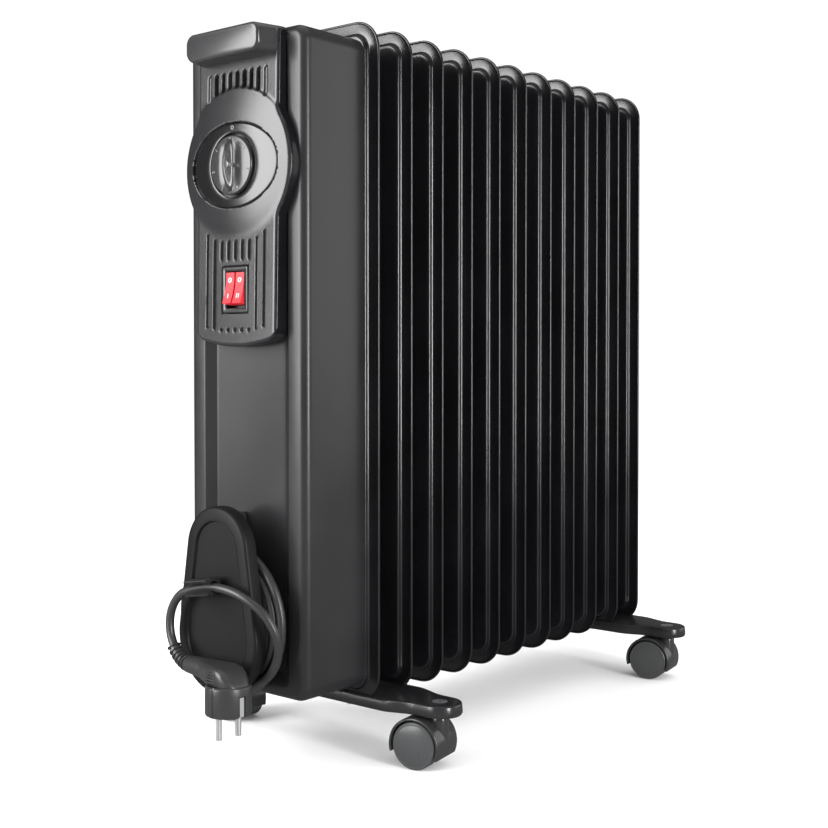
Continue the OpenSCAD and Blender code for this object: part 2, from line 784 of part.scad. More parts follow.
// Plan of a foot bar: a wide middle that narrows to round tips.
module bar_plan() {
    m = bar_mid_w / 2;
    t = bar_tip_w / 2;
    wide_x = fin_w / 2 + 4;
    for (x = [-1, 1]) translate([x * tip_x, 0]) circle(t);
    polygon([[-wide_x, -m], [wide_x, -m], [tip_x - 6, -t], [tip_x, -t],
        [tip_x, t], [tip_x - 6, t], [wide_x, m], [-wide_x, m], [-tip_x + 6, t],
        [-tip_x, t], [-tip_x, -t], [-tip_x + 6, -t]]);
}

// Moulded foot bar with slots for the two fins that stand in it.
module foot_bar(y) {
    color(black_plastic) placed() translate([0, y, 0]) difference() {
        translate([0, 0, bar_low]) linear_extrude(bar_t) bar_plan();
        for (s = [-1, 1]) translate([0, s * fin_pitch / 2, 0])
            along_y(-rim_t / 2 - slot_gap, rim_t / 2 + slot_gap)
                plate_outline(fin_w + 2 * slot_gap, slot_z, fin_top, fin_r + slot_gap);
        for (s = [-1, 1]) {
            translate([s * stem_x, 0, bar_low - 1])
                cylinder(r = stem_d / 2 + run_gap, h = bar_t + 2);
            translate([s * stem_x, 0, bar_top - head_t - 0.4])
                cylinder(r = head_r + move_gap, h = head_t + 1);
            translate([s * u_half, 0, bar_low - 1]) cylinder(r = u_rod / 2, h = bar_t + 2);
        }
    }
}

// U-bolts over the lowest header collars, one for each foot bar.
module u_bolts() {
    color(steel) placed() for (y = [bar_front_y, bar_rear_y]) translate([0, y, 0]) {
        translate([0, 0, lower_z]) rotate([90, 0, 0])
            rotate_extrude(angle = 180) translate([u_half, 0]) circle(u_rod / 2);
        for (s = [-1, 1]) translate([s * u_half, 0, bar_low - 9])
            cylinder(r = u_rod / 2, h = lower_z - bar_low + 9);
    }
}

// Wing nuts under the foot bars.
module wing_nuts() {
    color(steel) placed() for (y = [bar_front_y, bar_rear_y], s = [-1, 1])
        translate([s * u_half, y, bar_low - 6]) difference() {
            union() {
                cylinder(r = 5, h = 6);
                translate([-10, -1, 0]) cube([20, 2, 6]);
            }
            translate([0, 0, -1]) cylinder(r = u_rod / 2, h = 8);
        }
}

// Places a caster piece: stem axis on local Z, wheels behind it along local -X.
module caster_place(side, y) {
    placed() translate([side * stem_x, y, 0])
        rotate([0, 0, side > 0 ? caster_yaw : 180 - caster_yaw]) children();
}

// Ring sector of the hood, drawn round the axle in the plane of the wheel.
module hood_sector(r) {
    intersection() {
        circle(r);
        polygon([[0, 0], [60 * cos(25), -60 * sin(25)], [60, 60], [-60, 60],
            [-60 * cos(17), -60 * sin(17)]]);
    }
}

// Hood of a twin-wheel caster: middle web, hood over both wheels and the stem's socket.
module caster_hood(side, y) {
    axle_z = wheel_d / 2;
    color(black_plastic) caster_place(side, y) difference() {
        union() {
            translate([-trail, half_caster, axle_z]) rotate([90, 0, 0])
                linear_extrude(2 * half_caster) difference() {
                    hood_sector(hood_out);
                    circle(hood_in);
                }
            translate([-trail, web_t / 2, axle_z]) rotate([90, 0, 0])
                linear_extrude(web_t) {
                    hood_sector(hood_out);
                    circle(8);
                }
            intersection() {
                translate([0, 0, axle_z + 8]) cylinder(r = 7, h = bar_low - 1 - axle_z - 8);
                difference() {
                    translate([-30, -30, 0]) cube([60, 60, 60]);
                    translate([-trail, 40, axle_z]) rotate([90, 0, 0]) cylinder(r = hood_in, h = 80);
                }
            }
        }
        translate([0, 0, axle_z - 1]) cylinder(r = stem_d / 2, h = 40);
        translate([-trail, 30, axle_z]) rotate([90, 0, 0]) cylinder(r = axle_d / 2, h = 60);
    }
}

// Steel of one caster: its stem with a riveted head, and its axle.
module caster_pins(side, y) {
    axle_z = wheel_d / 2;
    color(steel) caster_place(side, y) {
        difference() {
            translate([0, 0, axle_z + 4]) cylinder(r = stem_d / 2, h = bar_top - head_t - axle_z - 4);
            translate([-trail, 40, axle_z]) rotate([90, 0, 0]) cylinder(r = hood_in, h = 32.5);
            translate([-trail, -7.5, axle_z]) rotate([90, 0, 0]) cylinder(r = hood_in, h = 32.5);
        }
        translate([0, 0, bar_top - head_t]) cylinder(r = head_r, h = head_t);
        translate([-trail, half_caster, axle_z]) rotate([90, 0, 0])
            cylinder(r = axle_d / 2, h = 2 * half_caster);
    }
}

// One wheel: tread, a domed outer face and the axle's bore.
module wheel(side, y, s) {
    r = wheel_d / 2;
    dome = 1.6;
    ball = (r * r + dome * dome) / (2 * dome);
    inner = web_t / 2 + move_gap;
    color(soft_black) caster_place(side, y) translate([-trail, s * inner, r])
        rotate([s * -90, 0, 0]) difference() {
            union() {
                cylinder(r = r, h = wheel_w);
                intersection() {
                    cylinder(r = r, h = wheel_w + dome + 1);
                    translate([0, 0, wheel_w + dome - ball]) sphere(ball, $fn = 128);
                }
            }
            translate([0, 0, -1]) cylinder(r = axle_d / 2 + run_gap, h = wheel_w + 1.1);
        }
}

fin(1);  // fin_01
fin(2);  // fin_02
fin(3);  // fin_03
fin(4);  // fin_04
fin(5);  // fin_05
fin(6);  // fin_06
fin(7);  // fin_07
fin(8);  // fin_08
fin(9);  // fin_09
fin(10);  // fin_10
fin(11);  // fin_11
header(upper_z);  // upper_header
header(lower_z);  // lower_header
heating_element();
element_nut();
element_gasket();
filler_plug();
front_cover();
cover_bracket();
cover_screws();
control_panel();
panel_screws();
control_knob();
thermostat_shaft();
thermostat_body();
switch_body();
rocker(-1);  // rocker_left
rocker(1);  // rocker_right
thermal_cutout();
terminal_block();
wire_loom();
winder_spool();
winder_plate();
winder_screws();
cord_gland();
cord_coil();
cord_tail();
plug_body();
plug_pins();
foot_bar(bar_front_y);  // foot_bar_front
foot_bar(bar_rear_y);  // foot_bar_rear
u_bolts();
wing_nuts();
caster_hood(1, bar_front_y);  // caster_hood_fr
caster_hood(-1, bar_front_y);  // caster_hood_fl
caster_hood(1, bar_rear_y);  // caster_hood_rr
caster_hood(-1, bar_rear_y);  // caster_hood_rl
caster_pins(1, bar_front_y);  // caster_pins_fr
caster_pins(-1, bar_front_y);  // caster_pins_fl
caster_pins(1, bar_rear_y);  // caster_pins_rr
caster_pins(-1, bar_rear_y);  // caster_pins_rl
wheel(1, bar_front_y, -1);  // wheel_fr_a
wheel(1, bar_front_y, 1);  // wheel_fr_b
wheel(-1, bar_front_y, -1);  // wheel_fl_a
wheel(-1, bar_front_y, 1);  // wheel_fl_b
wheel(1, bar_rear_y, -1);  // wheel_rr_a
wheel(1, bar_rear_y, 1);  // wheel_rr_b
wheel(-1, bar_rear_y, -1);  // wheel_rl_a
wheel(-1, bar_rear_y, 1);  // wheel_rl_b
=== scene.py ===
import json

import bmesh
import bpy
import numpy as np
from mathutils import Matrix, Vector


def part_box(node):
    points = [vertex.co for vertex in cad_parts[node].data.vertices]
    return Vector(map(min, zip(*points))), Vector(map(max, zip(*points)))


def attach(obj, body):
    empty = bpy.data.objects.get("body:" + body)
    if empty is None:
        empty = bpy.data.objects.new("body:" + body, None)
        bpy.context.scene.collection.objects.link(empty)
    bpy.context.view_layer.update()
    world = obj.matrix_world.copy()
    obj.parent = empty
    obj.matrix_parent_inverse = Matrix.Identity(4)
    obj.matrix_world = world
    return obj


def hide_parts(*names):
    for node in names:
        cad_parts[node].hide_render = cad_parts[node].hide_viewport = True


bl_info = {
    "name": "Oil Filled Column Radiator",
    "version": (1, 0, 0),
    "blender": (4, 5, 0),
    "location": "3D View > Sidebar > Radiator",
    "description": "Builds a column radiator with its panel, winder, cord and casters",
    "category": "Object",
}

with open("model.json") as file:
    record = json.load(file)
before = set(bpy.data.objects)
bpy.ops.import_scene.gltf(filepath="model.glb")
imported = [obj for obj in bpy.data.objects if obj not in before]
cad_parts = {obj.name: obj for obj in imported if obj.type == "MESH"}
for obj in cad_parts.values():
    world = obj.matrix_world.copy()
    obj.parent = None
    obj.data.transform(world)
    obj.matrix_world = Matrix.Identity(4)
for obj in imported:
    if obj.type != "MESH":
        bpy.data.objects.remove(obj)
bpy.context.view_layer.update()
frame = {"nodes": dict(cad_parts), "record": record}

# Sizes below are in millimetres, with depth counted from the middle of the first fin.
FIN_LO, FIN_HI = (np.array(c) * 1000.0 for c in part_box("fin_01"))
ORIGIN_Y = (FIN_LO[1] + FIN_HI[1]) / 2.0
FIN_BOX = [tuple(np.array(c) * 1000.0 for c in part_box("fin_%02d" % (i + 1))) for i in range(11)]
FACE = FIN_LO[1] - ORIGIN_Y

# Front cover and control panel: rim plane, half-widths, heights and the round boss behind the knob.
RIM = FACE - 71.0
COVER_HALF, COVER_LOW, COVER_HIGH, COVER_EDGE = 69.8, 62.5, 612.5, 8.0
PANEL_HALF, PANEL_LOW, PANEL_EDGE = 48.3, 352.0, 3.2
BOSS_R, BOSS_Y, BOSS_CROWN = 63.5, RIM - 9.7, 6.5
KNOB_Z, KNOB_R, KNOB_Y = 502.0, 23.5, RIM - 16.0
SWITCH_Z, ROCKER_X = 399.4, 5.8

# Cord winder and the free run of the cord.
PLATE_Y, PLATE_Z = RIM - 34.0, 113.0
EGG_LOW_R, EGG_TOP_R, EGG_GAP = 47.0, 36.0, 72.0
CLIP_SPOT = (-4.0, -120.3, 156.0)
CLIP_LEAN, CLIP_HALF, CLIP_BORE = 9.0, 14.0, 4.6
STRAND, WOUND_R = 7.2, 49.0

# Feet: places of the two bars along the column, stems across it, and the casters' resting angle.
FOOT_Y = {"front": 21.7, "rear": 412.3}
STEM_X, TRAIL, WHEEL_R, CASTER_YAW = 130.0, 16.0, 20.0, 10.0


# ---------- numbers to meshes ----------


def step(a, b, x):
    """Smooth step: t squared times three minus two t, with t running from 0 at a to 1 at b."""
    t = np.clip((x - a) / (b - a), 0.0, 1.0)
    return t * t * (3.0 - 2.0 * t)


def rounded_box_outline(half, low, high, r, k=9):
    """Rounded rectangle as four quarter circles of k points; x is half minus r plus r cos a."""
    a = np.linspace(0.0, np.pi / 2.0, k)
    out = []
    for q, (sx, z) in enumerate(((1, high - r), (-1, high - r), (-1, low + r), (1, low + r))):
        b = a + q * np.pi / 2.0
        out.append(np.stack([sx * (half - r) + r * np.cos(b), z + r * np.sin(b)], 1))
    return np.concatenate(out)


def at_depth(outline, y):
    """An X-Z outline as a ring of points at depth y."""
    return np.stack([outline[:, 0], np.full(len(outline), float(y)), outline[:, 1]], 1)


def at_height(outline, z):
    """An X-Y outline as a ring of points at height z."""
    return np.stack([outline[:, 0], outline[:, 1], np.full(len(outline), float(z))], 1)


def skin(rings, start=True, end=True):
    """Quads between rings of the same number of points, with a flat cap on either end."""
    rings = np.asarray(rings, float)
    m, n = rings.shape[:2]
    i, j = np.meshgrid(np.arange(m - 1), np.arange(n), indexing="ij")
    k = (j + 1) % n
    quads = np.stack([i * n + j, i * n + k, (i + 1) * n + k, (i + 1) * n + j], -1).reshape(-1, 4)
    faces = quads.tolist()
    if start:
        faces.append(list(range(n))[::-1])
    if end:
        faces.append(list(range((m - 1) * n, m * n)))
    return rings.reshape(-1, 3), faces


def sheet_faces(m, n):
    """Quads of a grid of m rows and n columns: a point, its right, upper right and upper neighbour."""
    i, j = np.meshgrid(np.arange(m - 1), np.arange(n - 1), indexing="ij")
    quads = np.stack([i * n + j, i * n + j + 1, (i + 1) * n + j + 1, (i + 1) * n + j], -1)
    return quads.reshape(-1, 4).tolist()


def slot_distance(x, z, cx, z0, z1, half):
    """Distance to an upright slot with round ends: distance to its middle line less its half-width."""
    return np.hypot(x - cx, z - np.clip(z, z0 + half, z1 - half)) - half


def boss_depth(rad):
    """Depth of the crowned boss: the crown falls with the square of the radius."""
    return BOSS_Y - BOSS_CROWN * (1.0 - (rad / BOSS_R) ** 2)


def turned(profile, n=48, start=True, end=True):
    """Profile of (radius, length) pairs turned about local Z: x is r cos a, y is r sin a."""
    p = np.asarray(profile, float)
    a = np.linspace(0.0, 2.0 * np.pi, n, endpoint=False)
    rings = np.stack([p[:, :1] * np.cos(a), p[:, :1] * np.sin(a), np.repeat(p[:, 1:], n, 1)], -1)
    return skin(rings, start, end)


def bent_tube(path, radius, n=12):
    """Circle of given radius carried along a path, kept square to it and untwisted."""
    p = np.asarray(path, float)
    d = np.gradient(p, axis=0)
    d /= np.linalg.norm(d, axis=1)[:, None]
    side = np.cross(d[0], [0.3, 0.5, 0.8])
    a = np.linspace(0.0, 2.0 * np.pi, n, endpoint=False)[:, None]
    radius = np.broadcast_to(radius, len(p))
    rings = []
    for q, t, r in zip(p, d, radius):
        side = side - t * (side @ t)
        side /= np.linalg.norm(side)
        rings.append(q + r * (np.cos(a) * side + np.sin(a) * np.cross(t, side)))
    return skin(rings)


def block(lo, hi, r=0.6):
    """Box with its long edges rounded, as rounded outlines from back to front."""
    lo, hi = np.array(lo, float), np.array(hi, float)
    cx, half = (lo[0] + hi[0]) / 2.0, (hi[0] - lo[0]) / 2.0
    rings = []
    for inset, y in ((r, hi[1]), (0.0, hi[1] - r), (0.0, lo[1] + r), (0.3 * r, lo[1] + 0.3 * r), (r, lo[1])):
        o = rounded_box_outline(half - inset, lo[2] + inset, hi[2] - inset, r, 4)
        rings.append(at_depth(o + [cx, 0.0], y))
    return skin(rings)


def moved(part, where=(0.0, 0.0, 0.0), axes=None):
    """Local x, y, z along three given axes, then shifted."""
    v, f = part
    if axes is not None:
        v = v @ np.asarray(axes, float)
    return v + np.asarray(where, float), f


def facing_front(part, where):
    """Turns a piece made about local Z so that its Z points to the front, and places it."""
    return moved(part, where, ((1, 0, 0), (0, 0, 1), (0, -1, 0)))


def make(name, parts, material, body, replaces=(), sharp=32.0):
    """One mesh from a list of (points, faces), in metres, smooth but for edges over an angle."""
    verts, faces, count = [], [], 0
    for v, f in parts:
        verts.append(v)
        faces += [[i + count for i in q] for q in f]
        count += len(v)
    v = np.concatenate(verts) + [0.0, ORIGIN_Y, 0.0]
    mesh = bpy.data.meshes.new(name)
    mesh.from_pydata((v / 1000.0).tolist(), [], faces)
    bm = bmesh.new()
    bm.from_mesh(mesh)
    bmesh.ops.remove_doubles(bm, verts=bm.verts, dist=1e-6)
    bmesh.ops.recalc_face_normals(bm, faces=bm.faces)
    bm.to_mesh(mesh)
    bm.free()
    mesh.shade_smooth()
    mesh.set_sharp_from_angle(angle=np.radians(sharp))
    obj = bpy.data.objects.new(name, mesh)
    bpy.context.scene.collection.objects.link(obj)
    mesh.materials.append(material)
    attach(obj, body)
    if replaces:
        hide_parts(*replaces)
    return obj


# ---------- materials ----------


def finish(name, dark, light, rough, grain=900.0, bump=0.06, metallic=0.0, cloud=14.0, coat=0.0, shine=0.5):
    """Colour between two shades and roughness between two values by broad noise, with fine grain as bump."""
    found = bpy.data.materials.get(name)
    if found:
        return found
    m = bpy.data.materials.new(name)
    m.use_nodes = True
    nt = m.node_tree
    bsdf = nt.nodes["Principled BSDF"]
    bsdf.inputs["Metallic"].default_value = metallic
    bsdf.inputs["Coat Weight"].default_value = coat
    bsdf.inputs["Specular IOR Level"].default_value = shine
    bsdf.inputs["Coat Roughness"].default_value = 0.2
    co = nt.nodes.new("ShaderNodeTexCoord")
    place = nt.nodes.new("ShaderNodeMapping")
    nt.links.new(co.outputs["Object"], place.inputs["Vector"])
    broad = nt.nodes.new("ShaderNodeTexNoise")
    broad.inputs["Scale"].default_value = cloud
    broad.inputs["Detail"].default_value = 5.0
    fine = nt.nodes.new("ShaderNodeTexNoise")
    fine.inputs["Scale"].default_value = grain
    fine.inputs["Detail"].default_value = 2.0
    for t in (broad, fine):
        nt.links.new(place.outputs["Vector"], t.inputs["Vector"])
    ramp = nt.nodes.new("ShaderNodeValToRGB")
    ramp.color_ramp.elements[0].position = 0.3
    ramp.color_ramp.elements[1].position = 0.7
    ramp.color_ramp.elements[0].color = (*dark, 1.0)
    ramp.color_ramp.elements[1].color = (*light, 1.0)
    nt.links.new(broad.outputs["Fac"], ramp.inputs["Fac"])
    nt.links.new(ramp.outputs["Color"], bsdf.inputs["Base Color"])
    span = nt.nodes.new("ShaderNodeMapRange")
    span.inputs["From Min"].default_value = 0.3
    span.inputs["From Max"].default_value = 0.7
    span.inputs["To Min"].default_value = rough[0]
    span.inputs["To Max"].default_value = rough[1]
    mixed = nt.nodes.new("ShaderNodeMath")
    mixed.operation = "ADD"
    half = nt.nodes.new("ShaderNodeMath")
    half.operation = "MULTIPLY_ADD"
    half.inputs[1].default_value = 0.25
    half.inputs[2].default_value = -0.125
    nt.links.new(fine.outputs["Fac"], half.inputs[0])
    nt.links.new(broad.outputs["Fac"], mixed.inputs[0])
    nt.links.new(half.outputs[0], mixed.inputs[1])
    nt.links.new(mixed.outputs[0], span.inputs["Value"])
    nt.links.new(span.outputs["Result"], bsdf.inputs["Roughness"])
    ridge = nt.nodes.new("ShaderNodeBump")
    ridge.inputs["Strength"].default_value = bump
    ridge.inputs["Distance"].default_value = 0.0004
    nt.links.new(fine.outputs["Fac"], ridge.inputs["Height"])
    nt.links.new(ridge.outputs["Normal"], bsdf.inputs["Normal"])
    return m


def looks():
    """The sizes and colours that the sidebar shows."""
    return bpy.context.scene.radiator_looks


def shades(colour, spread=0.14):
    """Darker and lighter shade of a colour: the colour times one minus and one plus the spread."""
    return tuple(c * (1.0 - spread) for c in colour), tuple(c * (1.0 + spread) for c in colour)


def black_enamel():
    return finish("black_enamel", *shades(looks().fin_colour, 0.25), (0.17, 0.24), 1400, 0.05, coat=0.1)


def grey_enamel():
    return finish("grey_enamel", *shades(looks().cover_colour), (0.28, 0.35), 1500, 0.08, shine=0.36)


def moulded_black():
    return finish("moulded_black", *shades(looks().plastic_colour), (0.20, 0.27), 1600, 0.12)


def dial_black():
    return finish("dial_black", *shades(looks().dial_colour), (0.15, 0.21), 1600, 0.06, shine=0.55)


def side_black():
    # Painted shade: a darker copy of the panel's black plastic, standing in for the shade on the panel's
    # outer side walls.
    dark, light = (0.004, 0.004, 0.005), (0.007, 0.007, 0.008)
    return finish("side_black", dark, light, (0.12, 0.18), 1600, 0.05, shine=0.2)


def knob_black():
    return finish("knob_black", *shades(looks().knob_colour), (0.18, 0.25), 1600, 0.08)


def winder_black():
    return finish("winder_black", *shades(looks().winder_colour), (0.42, 0.52), 1600, 0.10, shine=0.16)


def tread_black():
    return finish("tread_black", *shades(looks().wheel_colour), (0.24, 0.34), 1100, 0.10)


def cord_rubber():
    return finish("cord_rubber", *shades(looks().cord_colour), (0.32, 0.42), 900, 0.2)


def rocker_red():
    return finish("rocker_red", *shades(looks().rocker_colour, 0.11), (0.24, 0.32), 500, 0.03, shine=0.45)


def mark_white():
    return finish("mark_white", (0.62, 0.62, 0.60), (0.75, 0.75, 0.73), (0.4, 0.5), 1200, 0.05)


def mark_grey():
    return finish("mark_grey", (0.16, 0.16, 0.16), (0.22, 0.22, 0.22), (0.45, 0.55), 1200, 0.05)


def plated():
    return finish("plated_steel", (0.50, 0.50, 0.51), (0.62, 0.62, 0.63), (0.2, 0.34), 700, 0.08, 1.0, 40.0)


def brass():
    return finish("turned_brass", (0.50, 0.36, 0.14), (0.62, 0.46, 0.20), (0.25, 0.4), 700, 0.08, 1.0, 40.0)


def ceramic():
    return finish("cream_plastic", (0.58, 0.56, 0.50), (0.70, 0.68, 0.62), (0.4, 0.55), 800, 0.1)


def floor_white(colour):
    """Matt white that shows darker in other surfaces' gloss, so that they don't mirror a bright floor."""
    m = finish("floor_white", colour, colour, (0.5, 0.6), 60, 0.0, shine=0.0)
    nt = m.node_tree
    bsdf = nt.nodes["Principled BSDF"]
    dim = nt.nodes.new("ShaderNodeBsdfDiffuse")
    dim.inputs["Color"].default_value = (0.16, 0.16, 0.16, 1.0)
    path = nt.nodes.new("ShaderNodeLightPath")
    mix = nt.nodes.new("ShaderNodeMixShader")
    nt.links.new(path.outputs["Is Glossy Ray"], mix.inputs["Fac"])
    nt.links.new(bsdf.outputs["BSDF"], mix.inputs[1])
    nt.links.new(dim.outputs["BSDF"], mix.inputs[2])
    nt.links.new(mix.outputs["Shader"], nt.nodes["Material Output"].inputs["Surface"])
    return m


# ---------- pieces ----------


def fin_shape(lo, hi):
    """Two pressed sheets: rings step in from the outline by an inset while depth follows the pressing."""
    half, low, high = hi[0], lo[2], hi[2]
    mid = (lo[1] + hi[1]) / 2.0 - ORIGIN_Y
    rim = [(0.0, 0.0), (0.1, 0.55), (0.4, 1.0), (0.9, 1.25), (1.5, 1.15), (2.1, 0.85), (2.6, 0.75)]
    shoulder = [(9.8, 0.75), (10.7, 0.9), (11.2, 1.4), (11.6, 2.6), (11.9, 3.9), (12.3, 4.7), (13.0, 5.15)]
    side = rim + shoulder + [(14.0, 5.3), (16.0, 5.3)]
    rings = []
    for inset, y in side[::-1] + [(a, -b) for a, b in side[1:]]:
        r = max(26.0 - inset, 11.0)
        rings.append(at_depth(rounded_box_outline(half - inset, low + inset, high - inset, r, 12), mid + y))
    return skin(rings)


def cover_shape():
    """Deep-drawn shell: outline rings come forward, round the front edge, then sink into the channel."""
    shells = []
    for t in (0.9, 0.0):
        roll = COVER_EDGE - t
        a = np.linspace(0.0, np.pi / 2.0, 7)
        depths = [FACE, *(RIM + COVER_EDGE - roll * np.sin(a))]
        insets = [t, *(t + roll * (1.0 - np.cos(a)))]
        shell = []
        for i, y in zip(insets, depths):
            corner = max(14.0 - i, 4.0)
            outline = rounded_box_outline(COVER_HALF - i, COVER_LOW + i, COVER_HIGH - i, corner)
            shell.append(at_depth(outline, y))
        shells.append(shell)
    inner, outer = shells
    wall = [(51.5, 0.0), (50.6, 0.12), (49.9, 0.6), (42.4, 5.9), (41.6, 6.4), (40.6, 6.5)]
    channel = []
    for half, depth in wall:
        outline = rounded_box_outline(half, COVER_LOW + 62.0 - half, 554.5 + half, 7.0)
        channel.append(at_depth(outline, RIM + depth))
    return skin(inner[::-1] + outer + channel, start=False, end=True)


def panel_shape():
    """Height field over x and z: a leaning plane joined to a crowned disc, less the slots and the window.

    Half-width is the larger of the panel's and the disc's chord, eased where they meet. Edges roll off on
    a circle.
    """
    w0 = PANEL_HALF
    edge = np.array([0.0, 0.12, 0.4, 0.85, 1.5, 2.3, 3.2])
    cols = np.concatenate([-w0 + edge, np.arange(-w0 + 4.0, w0 - 3.7, 0.75), w0 - edge[::-1]])
    rows = np.concatenate([PANEL_LOW + edge, np.arange(356.0, 609.6, 0.8)])
    s, z = np.meshgrid(cols / w0, rows)
    chord = np.sqrt(np.maximum(BOSS_R**2 - (z - KNOB_Z) ** 2, 0.0))
    h = np.maximum(5.0 - np.abs(w0 - chord), 0.0) / 5.0
    w = np.maximum(w0, chord) + h * h * 1.25
    x = s * w
    sag = 150.0 - np.sqrt(150.0**2 - x * x)
    corner = np.maximum(np.abs(x) - w0 + 9.0, 0.0)
    sag = sag + np.where(z < 420.0, 9.0 - np.sqrt(np.maximum(81.0 - corner**2, 0.0)), 0.0)
    off = z - PANEL_LOW
    z = z + sag * (1.0 - np.clip(off / 50.0, 0.0, 1.0)) ** 2
    plane = RIM - 8.2 - 4.0 * np.clip((580.0 - z) / 220.0, -0.1, 1.1)
    rad = np.hypot(x, z - KNOB_Z)
    disc = np.where(rad < BOSS_R, boss_depth(rad), BOSS_Y + (rad - BOSS_R) * 0.5)
    k = 0.9
    h = np.clip(0.5 + 0.5 * (disc - plane) / k, 0.0, 1.0)
    y = disc * (1.0 - h) + plane * h - k * h * (1.0 - h)
    ell = (np.hypot(x / 50.6, (z - KNOB_Z) / 35.3) - 1.0) * 38.0
    y = y + 3.2 * step(0.5, -0.5, ell)
    y = np.where(rad < 27.5, np.maximum(y, RIM - 10.2), y)
    vents = (24.0, 18.0, 16.0, 14.0, 13.7, 14.4, 16.5, 18.5, 24.0)
    for i, n in enumerate(vents):
        deep, half = (1.1, 1.5) if i in (0, 8) else (5.5, 1.85)
        y = y + deep * step(0.45, -0.55, slot_distance(x, z, (i - 4) * 8.42, 580.0 - n, 580.0, half))
    low = [(-34.2, 368.0, 446.5), (34.2, 368.0, 446.5), (-25.0, 366.5, 442.0), (25.0, 366.5, 442.0)]
    low += [(i * 8.25, 424.0, 440.0) for i in (-2, -1, 0, 1, 2)]
    low += [(i * 8.3, 364.7, 367.3) for i in (-2, -1, 0, 1, 2)]
    for cx, z0, z1 in low:
        y = y + 2.2 * step(0.45, -0.5, slot_distance(x, z, cx, z0, z1, 1.35))
    bezel = np.maximum(np.abs(x) - 15.9, np.abs(z - SWITCH_Z) - 19.6)
    y = y + 3.0 * step(0.3, -0.3, bezel)
    window = np.maximum(np.abs(x) - 14.0, np.abs(z - SWITCH_Z) - 18.0)
    y = y + 12.0 * step(0.3, -0.3, window)
    d = np.minimum((1.0 - np.abs(s)) * w, off)
    d = np.clip(d, 0.0, PANEL_EDGE)
    y = y + PANEL_EDGE - np.sqrt(np.maximum(PANEL_EDGE**2 - (PANEL_EDGE - d) ** 2, 0.0))
    back = np.where(w[:, :1] > 48.7, RIM - 0.05, RIM + 4.0)
    x, y, z = (np.pad(g, 1, mode="edge") for g in (x, y, z))
    back = np.pad(back[:, 0], 1, mode="edge")
    y[:, 0] = y[:, -1] = back
    y[0, :] = back[0]
    y[-1, :] = back[-1]
    m, n = x.shape
    faces = sheet_faces(m, n)
    loop = list(range(n)) + [r * n + n - 1 for r in range(1, m)]
    loop += [(m - 1) * n + c for c in range(n - 2, -1, -1)] + [r * n for r in range(m - 2, 0, -1)]
    faces.append(loop[::-1])
    return np.stack([x, y, z], -1).reshape(-1, 3), faces


def switch_frame_shape():
    """Rounded rectangles: up the outside, over the front rim and down into the window."""
    outside = [(15.3, 19.0, 3.5), (15.3, 19.0, 0.45), (15.0, 18.7, 0.1), (14.6, 18.3, 0.0)]
    window = [(11.9, 15.8, 0.1), (11.5, 15.4, 0.4), (11.3, 15.2, 1.2), (11.3, 15.2, 8.5)]
    rings = []
    for w, h, d in outside + window:
        corner = 0.8 if w < 14 else 1.4
        outline = rounded_box_outline(w, SWITCH_Z - h, SWITCH_Z + h, corner, 6)
        rings.append(at_depth(outline, RIM - 11.9 + d))
    return skin(rings, False, True)


def dial_shape():
    """Ring plate from a round hole to an ellipse; depth is the crown of the disc plus the sink."""
    a = np.linspace(0.0, 2.0 * np.pi, 128, endpoint=False)
    hole = np.stack([np.cos(a), np.sin(a)], 1) * 26.5
    edge = np.stack([np.cos(a) * 50.0, np.sin(a) * 34.7], 1)
    rings = [at_depth(hole + [0, KNOB_Z], RIM - 10.2), at_depth(hole + [0, KNOB_Z], RIM - 14.4)]
    for t in (0.03, 0.07, 0.3, 0.5, 0.7, 0.88, 0.95, 1.0):
        o = hole * (1.0 - t) + edge * t
        y = boss_depth(np.hypot(o[:, 0], o[:, 1])) + 1.1 + 0.5 * step(0.93, 1.0, t)
        if t < 0.05:
            y = y + 0.25
        rings.append(np.stack([o[:, 0], y, o[:, 1] + KNOB_Z], 1))
    rings.append(at_depth(edge + [0, KNOB_Z], RIM - 9.0))
    return skin(rings, False, False)


def handle_shape():
    """Nose block: a rounded outline that flares from the front face to the rim plane."""
    rings = []
    for ahead, half, low, high, r in (
        (-3.0, 47.6, 588.4, 612.4, 6.0), (1.0, 47.4, 588.4, 612.4, 6.0), (6.0, 46.4, 588.4, 612.4, 6.5),
        (16.0, 44.6, 588.8, 612.5, 7.5), (23.6, 43.4, 589.2, 612.5, 8.0), (25.2, 43.0, 589.6, 612.2, 8.0),
        (26.3, 42.2, 590.4, 611.4, 7.4), (26.7, 41.0, 591.6, 610.2, 6.4)):
        rings.append(at_depth(rounded_box_outline(half, low, high, r, 9), RIM - ahead))
    return skin(rings)


